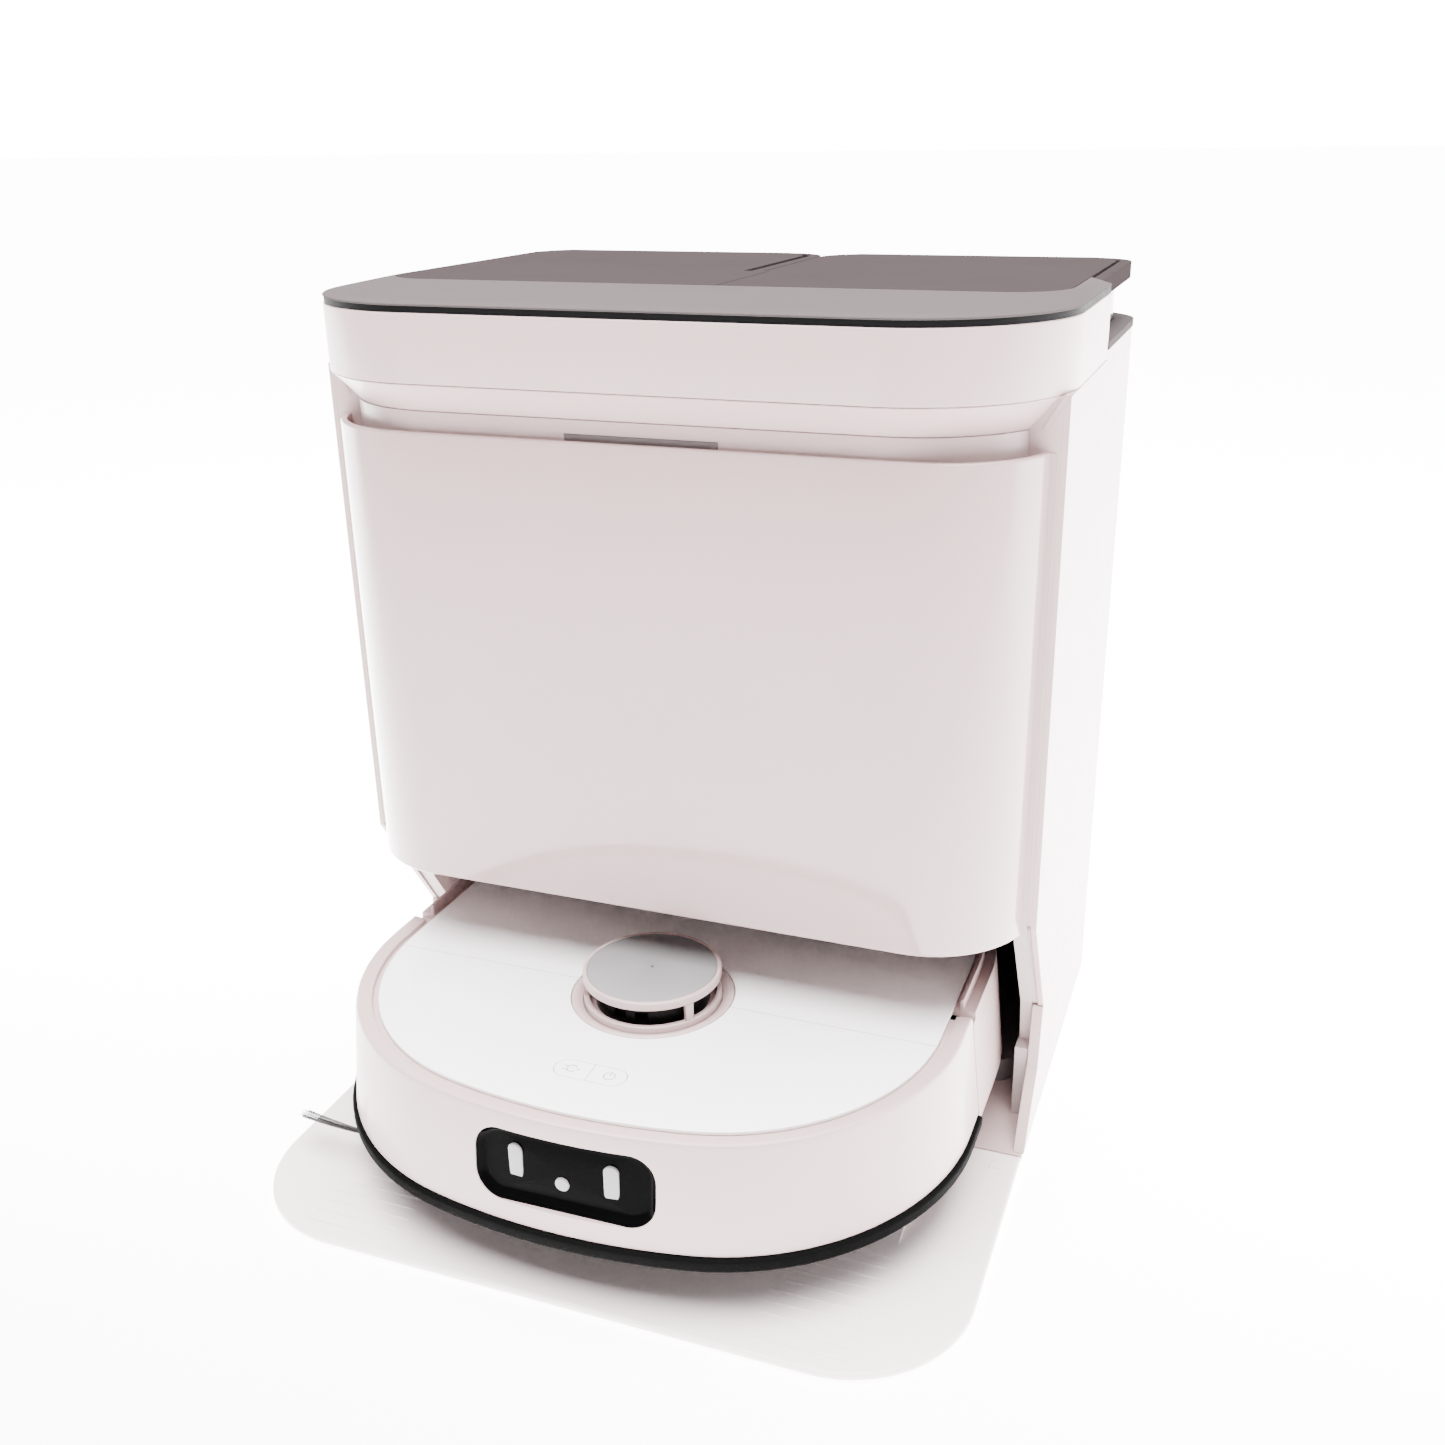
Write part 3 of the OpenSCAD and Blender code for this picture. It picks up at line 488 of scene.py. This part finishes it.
def dress(node, material):
    """Gives one CAD node its material."""
    ob = frame["nodes"][node]
    ob.data.materials.clear()
    ob.data.materials.append(material)
    for p in ob.data.polygons:
        p.material_index = 0


def dress_carried(mats):
    """Gives every CAD node that stays visible its material."""
    for key, nodes in CARRIED.items():
        for node in nodes:
            dress(node, mats[key])


# ---------- station ----------

def base_ramp(mats):
    """Front plate with a sloping step up to the docking bay and two groups of anti-slip ribs."""
    low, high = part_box("base_ramp")
    foot_y, step_y, step_x = -0.126, -0.078, 0.150
    rib_in, rib_y, rib_pitch, rib_count = 0.098, -0.137, 0.008, 10
    mark_x, mark_y = 0.184, -0.0468
    bm = bmesh.new()
    plan = round_rect(low.x, high.x, low.y, high.y, 0.065, 0.0005, n=20)
    plate_into(bm, plan, plate_profile(low.z, PLATE_T, 0.0008, 0.0018))
    side = [(foot_y, PLATE_T - 0.001), (foot_y, PLATE_T), (step_y, high.z), (high.y, high.z),
            (high.y, PLATE_T - 0.001)]
    ends = [[bm.verts.new((x, y, z)) for y, z in side] for x in (-step_x, step_x)]
    bridge(bm, ends)
    cap_rings(bm, ends)
    for s in (-1, 1):
        x0, x1 = sorted((s * rib_in, s * step_x))
        for k in range(rib_count):
            rib_into(bm, x0, x1, rib_y - rib_pitch * k, PLATE_T)
        mark_into(bm, s * mark_x, mark_y, PLATE_T)
    mesh_object("ramp_plate", bm, mats["ramp"], "station", ["base_ramp"])


def rib_into(bm, x0, x1, y, z, r=0.0008, n=6):
    """A low half-round anti-slip rib with tapered ends."""
    taper, sunk = 0.002, 0.0001
    rings = []
    for x, s in ((x0, 0.2), (x0 + taper, 1.0), (x1 - taper, 1.0), (x1, 0.2)):
        half_round = arc(y, z - sunk, r * s, 0, 180, n)
        rings.append([bm.verts.new((x, py, pz)) for py, pz in half_round])
    bridge(bm, rings)
    cap_rings(bm, rings)


def mark_into(bm, x, y, z, s=0.0032, line=0.0006):
    """The small raised square frame near the plate's seam, open at its right side."""
    for x0, x1, y0, y1 in ((-s, s, -s, line - s), (-s, s, s - line, s), (-s, line - s, -s, s)):
        box_into(bm, x + x0, x + x1, y + y0, y + y1, z - 0.0004, z + 0.00025)


def upper_fascia(mats):
    """The white band under the top cover, with the flare that leads in to the neck."""
    low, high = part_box("upper_fascia")
    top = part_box("cover_trim")[0].z - 0.0002
    neck_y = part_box("front_frame")[0].y
    half = (high.x - low.x) / 2
    band_low = low.z + 0.0158
    wall = 0.004
    bm = bmesh.new()
    profile = rounded([(0, band_low), (0, top), (wall, top), (wall, band_low)], [0.0006, 0.0006, 0, 0], 3)
    sweep_into(bm, open_front(half, low.y, BAND_R, high.y, 24), profile)
    flare_into(bm, half, low.y, neck_y, band_low, low.z)
    mesh_object("upper_band", bm, mats["white"], "station", ["upper_fascia"])


def flare_into(bm, half, band_y, neck_y, z_top, z_low, y_end=-0.0412):
    """The flare that leads from the band in to the neck of the front frame."""
    count, wall, lip = 8, 0.0032, 0.0004
    side_in, corner_in = 0.009, 0.010
    z_start = z_top - 0.0006
    steps = [(0.0, z_top + 0.0002, 0.0), (0.0, z_top, lip)]
    for k in range(count + 1):
        f = k / count
        steps.append((f ** 0.92, z_start - (z_start - z_low) * f, lip))
    rings = []
    for thick, order in ((0.0, steps), (wall, list(reversed(steps)))):
        for f, z, extra in order:
            x_half = half - side_in * f - extra - thick
            y0 = band_y + (neck_y - band_y) * f + extra + thick
            r = BAND_R - corner_in * f - thick
            rings.append(ring_into(bm, open_front(x_half, y0, r, y_end, 24)(0), z))
    bridge(bm, rings, around=False, loop=True)
    cap_ends(bm, rings)


def front_panel(mats):
    """The large removable panel: a thin wall bent back at both sides."""
    low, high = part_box("front_panel")
    wall = 0.0036
    bm = bmesh.new()
    plan = open_front(0.1922, low.y, 0.057, high.y, 28)
    profile = [(0, low.z), (0, high.z), (wall, high.z), (wall, low.z)]
    sweep_into(bm, plan, rounded(profile, [0.0014, 0.0012, 0.0006, 0.0006], 5))
    mesh_object("bag_door_panel", bm, mats["panel"], "panel", ["front_panel"])


def top_cover(mats):
    """Grey frame round the lids: its front strip falls towards a thin black edge."""
    low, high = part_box("top_cover")
    lid_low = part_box("clean_tank_lid")[0]
    lid_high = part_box("dirty_tank_lid")[1]
    gap, drop, edge, count = 0.0005, 0.0028, 0.0006, 24

    def outline(i):
        return open_front(high.x - i, low.y + i, BAND_R - i, high.y, count)(0)

    inner = lid_front(lid_low.x - gap, lid_high.x + gap, lid_low.y - gap, 0.0305, high.y, count)
    bm = bmesh.new()
    rings = [ring_into(bm, outline(0.0004), low.z),
             ring_into(bm, outline(0.0), high.z - drop - 0.0005),
             ring_into(bm, outline(edge), high.z - drop)]
    for f in (0.25, 0.5, 0.75, 0.97):
        between = [(a[0] + (b[0] - a[0]) * f, a[1] + (b[1] - a[1]) * f) for a, b in zip(outline(edge), inner)]
        rings.append(ring_into(bm, between, high.z - drop * (1 - f) ** 1.15))
    for z in (high.z, high.z - 0.0003, low.z):
        rings.append(ring_into(bm, inner, z))
    bridge(bm, rings, around=False, loop=True)
    cap_ends(bm, rings)
    mesh_object("top_cover_frame", bm, mats["cover"], "station", ["top_cover"])


def lid_front(x0, x1, y0, r, y_end, n):
    """Open outline round the front of the two lids, with as many points as the cover's outer outline."""
    return ([(x0, y_end)] + arc(x0 + r, y0 + r, r, 180, 270, n)
            + arc(x1 - r, y0 + r, r, 270, 360, n) + [(x1, y_end)])


# ---------- robot ----------

def bumper(mats):
    """The bumper's drafted shell with its raised rim and the lip under the cover, cut for the window."""
    low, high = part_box("bumper")
    z0, lip, rim = low.z, WALL_HIGH, high.z
    wall, lip_t, rim_in, lip_in = 0.003, 0.0024, 0.0142, 0.024
    profile = [(lean(z0), z0), (lean(lip) - 0.0002, lip), (lean(rim) + 0.0004, rim), (rim_in, rim - 0.0010),
               (rim_in, lip), (lip_in, lip), (lip_in, lip - lip_t), (lean(lip) + wall, lip - lip_t),
               (lean(z0) + wall, z0)]
    radii = [0.0007, 0, 0.0016, 0.0005, 0.0002, 0.0003, 0, 0.001, 0.0004]
    bm = bmesh.new()
    sweep_into(bm, bumper_plan(high.y, 26), rounded(profile, radii, 4))
    ob = mesh_object("bumper_shell", bm, mats["white"], "bumper_unit", ["bumper"])
    tool = bmesh.new()
    window_prism(tool, D["front"] - 0.02, D["front"] + 0.05)
    cut(ob, tool_mesh("window_tool", tool))


def window_outline(grow):
    """The sensor window's outline (x, z): a rounded rectangle, grown by grow."""
    x0, x1, z0, z1, r = -0.0415, 0.0535, 0.054, 0.093, 0.014
    path = round_rect(x0, x1, z0, z1, r, r, 10)
    return path(-grow)


def window_prism(bm, y0, y1):
    """A prism of the window's outline from y0 to y1."""
    rings = [[bm.verts.new((x, y, z)) for x, z in window_outline(0.0)] for y in (y0, y1)]
    bridge(bm, rings)
    cap_rings(bm, rings)


def front_y(x, z, inset):
    """Y of the bumper's front face, inset by so much, at (x, z)."""
    r = ARC_R - inset - lean(z)
    return D["nose_arc_y"] - math.sqrt(r * r - x * x)


def sensor_window(mats):
    """Black window: a bevelled frame that runs in from the bumper's face, and a curved pane at its foot."""
    steps = [(-0.0002, 0.0004), (0.0006, 0.0010), (0.0022, 0.0030), (0.0040, 0.0040), (0.0046, PANE_DEPTH)]
    back_depth = 0.0058

    def face_ring(grow, depth):
        return [bm.verts.new((x, front_y(x, z, depth), z)) for x, z in window_outline(grow)]

    bm = bmesh.new()
    rings = [face_ring(-grow_in, depth) for grow_in, depth in steps]
    bridge(bm, rings)
    pane_into(bm, rings[-1], PANE_DEPTH)
    back = face_ring(-0.0002, back_depth)
    bridge(bm, [back, rings[0]])
    bm.faces.new(back)
    mesh_object("sensor_window_pane", bm, mats["black_gloss"], "bumper_unit",
                ["sensor_window"], sharp=40)


def pane_into(bm, ring, depth):
    """Fills a ring on the curved face with concentric rings, so that the pane keeps the curve."""
    cx = sum(v.co.x for v in ring) / len(ring)
    cz = sum(v.co.z for v in ring) / len(ring)
    rings = [ring]
    for f in (0.85, 0.65, 0.45, 0.25, 0.08):
        inner = [(cx + (v.co.x - cx) * f, cz + (v.co.z - cz) * f) for v in ring]
        rings.append([bm.verts.new((x, front_y(x, z, depth), z)) for x, z in inner])
    bridge(bm, rings)
    bm.faces.new(rings[-1])


def lens_into(bm, x, z, w, h, stand, n=20):
    """A domed pill or round lens standing out of the window pane."""
    r = w / 2
    rows = []
    for f, d in ((1.0, -0.0006), (1.0, stand * 0.5), (0.93, stand * 0.85), (0.8, stand), (0.4, stand * 1.06)):
        straight = (h / 2 - r) * (f if f < 0.5 else 1)
        ring = []
        for k in range(n):
            a = 2 * math.pi * (k + 0.5) / n
            px = r * f * math.cos(a)
            pz = r * f * math.sin(a) + math.copysign(straight, math.sin(a))
            ring.append(bm.verts.new((x + px, front_y(x + px, z, PANE_DEPTH) - d, z + pz)))
        rows.append(ring)
    bridge(bm, rows)
    cap_rings(bm, rows)


def sensor_lenses(mats):
    """Two pill-shaped depth lenses and the round camera lens between them."""
    bm = bmesh.new()
    for x, z in ((-0.0204, 0.0737), (0.0301, 0.0727)):
        lens_into(bm, x, z, 0.0078, 0.0215, 0.0007)
    mesh_object("depth_lenses", bm, mats["lens"], "bumper_unit", ["sensor_lenses"])
    bm = bmesh.new()
    lens_into(bm, 0.0047, 0.0679, 0.0075, 0.0075, 0.0008)
    mesh_object("camera_lens", bm, mats["lens"], "bumper_unit")


def bumper_strip(mats):
    """The dark rubber strip round the bumper's foot."""
    low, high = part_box("bumper_strip")
    bm = bmesh.new()
    profile = [(-0.0022, low.z), (-0.0024, high.z - 0.0006), (0.003, high.z), (0.003, low.z)]
    sweep_into(bm, bumper_plan(high.y, 26), rounded(profile, [0.0016, 0.0016, 0.0003, 0.0003], 4))
    mesh_object("rubber_strip", bm, mats["strip"], "bumper_unit", ["bumper_strip"])


def clip_plan(path, y_cut, keep_front):
    """A plan function clipped by the seam line y = y_cut."""
    def clipped(i):
        pts = path(i)
        out = []
        n = len(pts)
        for k in range(n):
            a, b = pts[k], pts[(k + 1) % n]
            ina, inb = (a[1] < y_cut) == keep_front, (b[1] < y_cut) == keep_front
            if ina:
                out.append(a)
            if ina != inb:
                f = (y_cut - a[1]) / (b[1] - a[1])
                out.append((a[0] + (b[0] - a[0]) * f, y_cut))
        return out
    return clipped


def robot_cover(mats, name, node, body, y_cut, keep_front):
    """One of the two top covers, cut at the seam and round the turret, the front one also for the keys."""
    low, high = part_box(node)
    under, over = low.z - 0.01, high.z + 0.01
    plan = clip_plan(robot_plan(26), y_cut, keep_front)
    bm = bmesh.new()
    plate_into(bm, lambda i: plan(i + COVER_INSET), plate_profile(low.z, high.z, 0.0003, 0.0006))
    ob = mesh_object(name, bm, mats["robot"], body, [node])
    tool = bmesh.new()
    turned_into(tool, 0, TURRET_Y, [(0.0001, under), (0.0448, under), (0.0448, over), (0.0001, over)], 96)
    cut(ob, tool_mesh("turret_tool", tool))
    if keep_front:
        tool = bmesh.new()
        plate_into(tool, key_outline(0.0199, 0.0073), [(0, under), (0, over)])
        cut(ob, tool_mesh("key_tool", tool))


def key_outline(w, r):
    """Plan function of the pill-shaped opening for the two keys."""
    def path(i):
        q = r - i
        return arc(w - r, KEY_Y, q, -90, 90, 12) + arc(-w + r, KEY_Y, q, 90, 270, 12)
    return path


def key_plan(side):
    """Plan function of one key: half of the pill, side -1 at the left and 1 at the right."""
    w, r, gap = 0.0195, 0.0069, 0.0002

    def path(i):
        q, x_in = r - i, gap + i
        turn = 90 if side < 0 else -90
        end = arc(side * (w - r), KEY_Y, q, turn, turn + 180, 12)
        return [(side * x_in, KEY_Y - side * q)] + end + [(side * x_in, KEY_Y + side * q)]
    return path


def keys(mats):
    """The two keys and their signs."""
    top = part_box("power_key")[1].z
    for body, node, side in (("spot_button", "spot_key", -1), ("power_button", "power_key", 1)):
        bm = bmesh.new()
        plate_into(bm, key_plan(side), plate_profile(top - 0.002, top, 0.0002, 0.0004, 3))
        mesh_object(body, bm, mats["robot"], body, [node])
    key_marks(mats, top)


def ring_mark(bm, cx, r, z, a0, a1, w=0.0005, n=36):
    """A flat printed arc of line width w on a key."""
    low = z - 0.0001
    profile = [(r - w / 2, low), (r - w / 2, z), (r + w / 2, z), (r + w / 2, low)]
    rows = [ring_into(bm, arc(cx, KEY_Y, radius, a0, a1, n), height) for radius, height in profile]
    bridge(bm, rows, around=False, loop=True)
    cap_ends(bm, rows)


def key_marks(mats, top):
    """Generic signs on the two keys: a power sign and a dock sign."""
    z = top + 0.00004
    low = z - 0.0001
    half_line = 0.00025
    bm = bmesh.new()
    ring_mark(bm, 0.0105, 0.0029, z, 115, 425)
    box_into(bm, 0.0105 - half_line, 0.0105 + half_line, KEY_Y + 0.0005, KEY_Y + 0.0040, low, z)
    mesh_object("power_sign", bm, mats["mark"], "power_button")
    bm = bmesh.new()
    ring_mark(bm, -0.0100, 0.0026, z, 40, 320)
    for x0, x1, dy in ((-0.0148, -0.0127, -0.0015), (-0.0148, -0.0127, 0.0015), (-0.0079, -0.0055, 0)):
        box_into(bm, x0, x1, KEY_Y + dy - half_line, KEY_Y + dy + half_line, low, z)
    mesh_object("dock_sign", bm, mats["mark"], "spot_button")


def turret(mats):
    """Seat ring, wall with three posts and roof of the laser turret, with its satin disc."""
    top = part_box("turret_housing")[1].z
    ring_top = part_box("rear_top_cover")[1].z + 0.0006
    wall_top, roof = 0.1032, top - 0.0052
    seat_low, seat_top, floor_top, wall_r = 0.0952, 0.0971, 0.0988, 0.0345
    disc_r, disc_top, axis_r = 0.0354, top - 0.00008, 0.002
    bm = bmesh.new()
    seat = [(0.0381, seat_top), (0.0381, ring_top - 0.0022), (0.0408, ring_top - 0.0006), (0.0430, ring_top),
            (0.0443, ring_top - 0.0006), (0.0443, seat_low), (0.0010, seat_low), (0.0010, seat_top)]
    turned_into(bm, 0, TURRET_Y, rounded(seat, [0, 0.0006, 0.0006, 0.0006, 0.0004, 0, 0, 0], 3), 120)
    wall = [(TURRET_R, seat_top + 0.0002), (TURRET_R, wall_top), (wall_r, wall_top - 0.0002),
            (wall_r, floor_top), (axis_r, floor_top), (axis_r, seat_top + 0.0002)]
    turned_into(bm, 0, TURRET_Y, rounded(wall, [0.0004, 0.0008, 0.0003, 0, 0, 0], 3), 120)
    lid = [(axis_r, roof), (0.0362, roof), (TURRET_R, roof + 0.0008), (TURRET_R, top - 0.0001), (disc_r, top),
           (disc_r, top - 0.0007), (axis_r, top - 0.0007)]
    turned_into(bm, 0, TURRET_Y, rounded(lid, [0, 0.0006, 0.0004, 0.0010, 0.0003, 0, 0], 4), 120)
    for k in range(3):
        post_into(bm, 85 + 120 * k, wall_top - 0.0004, roof + 0.0004)
    mesh_object("turret_shell", bm, mats["white"], "robot", ["turret_housing"])
    bm = bmesh.new()
    disc = [(0.0008, top - 0.0006), (disc_r - 0.0002, top - 0.0006), (disc_r - 0.0002, disc_top),
            (0.0008, disc_top)]
    turned_into(bm, 0, TURRET_Y, rounded(disc, [0, 0, 0.0002, 0], 3), 120)
    mesh_object("turret_silver_disc", bm, mats["silver"], "robot", ["turret_cap"])


def post_into(bm, deg, z0, z1, half=3.5523, n=4):
    """One curved post of the turret, half degrees to each side of the angle deg."""
    r_out, r_in = 0.0372, 0.0348
    profile = [(r_out, z0), (r_out, z1), (r_in, z1), (r_in, z0)]
    rows = [ring_into(bm, arc(0, TURRET_Y, r, deg - half, deg + half, n), z) for r, z in profile]
    bridge(bm, rows, around=False, loop=True)
    cap_ends(bm, rows)


def side_brush(mats):
    """Hub with two bent bristle tufts."""
    low_z, rim_z, neck_z, top_z = 0.0230, 0.0284, 0.0288, 0.0338
    hub = [(0.0012, low_z), (0.0098, low_z), (0.0100, rim_z), (0.0042, neck_z), (0.0040, top_z),
           (0.0012, top_z)]
    bm = bmesh.new()
    turned_into(bm, BRUSH_X, BRUSH_Y, rounded(hub, [0, 0.0012, 0.0006, 0.0004, 0.0004, 0], 3), 40)
    for deg in BRUSH_ARMS:
        sleeve_into(bm, deg)
    mesh_object("side_brush_hub", bm, mats["brush"], "sweeper", ["side_brush"])
    bm = bmesh.new()
    for which, deg in enumerate(BRUSH_ARMS):
        tuft_into(bm, deg, which)
    mesh_object("side_brush_bristles", bm, mats["bristle"], "sweeper", sharp=80)


def arm_axes(deg):
    """The direction of a brush arm at the angle deg, and the level direction across it."""
    a = math.radians(deg)
    return Vector((math.cos(a), math.sin(a), 0)), Vector((-math.sin(a), math.cos(a), 0))


def sleeve_into(bm, deg, n=10):
    """The rubber sleeve that holds one tuft at the hub."""
    along, across = arm_axes(deg)
    centre = Vector((BRUSH_X, BRUSH_Y, BRUSH_Z))
    circle = arc(0, 0, 1, 0, 360, n)[:-1]
    rings = []
    for r, w, h in ((0.007, 0.0030, 0.0014), (0.020, 0.0026, 0.0012), (0.026, 0.0020, 0.0010)):
        middle = centre + along * r
        rings.append([bm.verts.new(middle + across * w * x + Vector((0, 0, h * y))) for x, y in circle])
    bridge(bm, rings)
    cap_rings(bm, rings)


def tuft_into(bm, deg, which, count=44, parts=8):
    """A tuft of nylon bristles that fans out, droops and bends back at the tip."""
    along, across = arm_axes(deg)
    hub = Vector((BRUSH_X, BRUSH_Y, BRUSH_Z))
    golden_angle = 2.399963
    root, tip = 0.020, 0.0715
    bend = 0.0040 if which == 0 else 0.0024
    for k in range(count):
        spread = math.sqrt((k + 0.5) / count)
        u, v = spread * math.cos(golden_angle * k), spread * math.sin(golden_angle * k)
        length = tip - 0.0035 * abs(math.sin(k * 1.7 + which))
        pts = []
        for step in range(parts + 1):
            f = step / parts
            out = root + (length - root) * f
            wide = (0.0014 + 0.0021 * f) * u + bend * f * f - 0.0016 * f
            up = (0.0007 + 0.0005 * f) * v - 0.0003 * f + 0.0002 * math.sin(k)
            pts.append(hub + along * out - across * wide + Vector((0, 0, up)))
        strand_into(bm, pts, 0.00024)


def strand_into(bm, pts, r):
    """One bristle with a three-sided section that thins towards its tip."""
    corners = (0, 2.094, 4.189)
    rings = []
    for k, p in enumerate(pts):
        t = (pts[min(k + 1, len(pts) - 1)] - pts[max(k - 1, 0)]).normalized()
        x = t.cross(Vector((0, 0, 1))).normalized()
        y = x.cross(t)
        q = r * (1 - 0.45 * k / len(pts))
        rings.append([bm.verts.new(p + x * q * math.cos(b) + y * q * math.sin(b)) for b in corners])
    bridge(bm, rings)
    cap_rings(bm, rings)


# ---------- stage ----------

def camera():
    """The camera, standing where the picture of the object was taken from."""
    cam = bpy.data.cameras.new("camera")
    ob = bpy.data.objects.new("camera", cam)
    bpy.context.scene.collection.objects.link(ob)
    bpy.context.scene.camera = ob
    cam.sensor_width = 36.0
    cam.lens = 37.11
    cam.shift_x = -0.0173
    cam.shift_y = -0.0056
    cam.clip_start = 0.02
    cam.clip_end = 50.0
    ob.location = (0.29434, -0.72356, 0.53674)
    yaw, pitch, roll = math.radians(20.46), math.radians(21.40), math.radians(-0.77)
    fw = Vector((-math.sin(yaw) * math.cos(pitch), math.cos(yaw) * math.cos(pitch), -math.sin(pitch)))
    right = Vector((math.cos(yaw), math.sin(yaw), 0))
    up = right.cross(fw)
    r2 = right * math.cos(roll) + up * math.sin(roll)
    u2 = up * math.cos(roll) - right * math.sin(roll)
    ob.rotation_mode = "QUATERNION"
    ob.rotation_quaternion = Matrix((r2, u2, -fw)).transposed().to_quaternion()


def floor():
    """Large pale floor, lit from within behind the object so that it runs out to white."""
    size = 40.0
    bm = bmesh.new()
    bm.faces.new(ring_into(bm, [(-size, -size), (size, -size), (size, size), (-size, size)], 0))
    ob = linked_object("floor", bm)
    m = surface("floor_white", (0.95, 0.935, 0.93), 0.6, vary=0.006, grain=0.05, grain_scale=90)
    nt = m.node_tree
    split = nt.nodes.new("ShaderNodeSeparateXYZ")
    nt.links.new(nt.nodes["Texture Coordinate"].outputs["Object"], split.inputs["Vector"])
    glow = ramped(nt, split.outputs["Y"], -0.70, 0.30, 0.5, 13.0)
    bsdf = nt.nodes["Principled BSDF"]
    bsdf.inputs["Emission Color"].default_value = (1.0, 0.99, 0.99, 1)
    nt.links.new(glow, bsdf.inputs["Emission Strength"])
    ob.data.materials.append(m)


def area(name, loc, target, size, size_y, power):
    """A rectangular lamp at loc that shines towards target."""
    light = bpy.data.lights.new(name, "AREA")
    light.shape = "RECTANGLE"
    light.size = size
    light.size_y = size_y
    light.energy = power
    ob = bpy.data.objects.new(name, light)
    ob.location = loc
    ob.rotation_mode = "QUATERNION"
    ob.rotation_quaternion = (Vector(target) - Vector(loc)).to_track_quat("-Z", "Y")
    bpy.context.scene.collection.objects.link(ob)


def ramped(nt, source, low, high, at_low, at_high):
    """A smooth step of a value between two limits."""
    node = nt.nodes.new("ShaderNodeMapRange")
    node.interpolation_type = "SMOOTHSTEP"
    node.inputs["From Min"].default_value = low
    node.inputs["From Max"].default_value = high
    node.inputs["To Min"].default_value = at_low
    node.inputs["To Max"].default_value = at_high
    nt.links.new(source, node.inputs["Value"])
    return node.outputs["Result"]


def world():
    """Soft grey room with a bright band low down behind the object."""
    w = bpy.data.worlds.new("room")
    bpy.context.scene.world = w
    w.use_nodes = True
    nt = w.node_tree
    bg = nt.nodes["Background"]
    where = nt.nodes.new("ShaderNodeTexCoord")
    split = nt.nodes.new("ShaderNodeSeparateXYZ")
    nt.links.new(where.outputs["Generated"], split.inputs["Vector"])
    behind = ramped(nt, split.outputs["Y"], 0.0, 0.5, 0.0, 1.0)
    low = ramped(nt, split.outputs["Z"], 0.08, 0.16, 16.0, 0.0)
    band = nt.nodes.new("ShaderNodeMath")
    band.operation = "MULTIPLY_ADD"
    nt.links.new(behind, band.inputs[0])
    nt.links.new(low, band.inputs[1])
    band.inputs[2].default_value = 0.6
    nt.links.new(band.outputs["Value"], bg.inputs["Strength"])
    bg.inputs["Color"].default_value = (1.0, 0.985, 0.982, 1)


def lights():
    """A large soft lamp above and a weak one at the right."""
    area("ceiling", (0.0, -0.2, 2.1), (0, -0.1, 0.1), 2.2, 2.2, 400)
    area("window_right", (2.2, 0.3, 1.1), (0, 0.1, 0.25), 1.6, 1.8, 30)


def main():
    """Stage and lights first, then the object's pieces."""
    camera()
    floor()
    world()
    lights()
    mats = make_materials()
    dress_carried(mats)
    base_ramp(mats)
    upper_fascia(mats)
    front_panel(mats)
    top_cover(mats)
    bumper(mats)
    sensor_window(mats)
    sensor_lenses(mats)
    bumper_strip(mats)
    robot_cover(mats, "front_cover_plate", "front_top_cover", "robot", TURRET_Y - SEAM / 2, True)
    robot_cover(mats, "rear_cover_plate", "rear_top_cover", "rear_cover", TURRET_Y + SEAM / 2, False)
    keys(mats)
    turret(mats)
    side_brush(mats)


main()
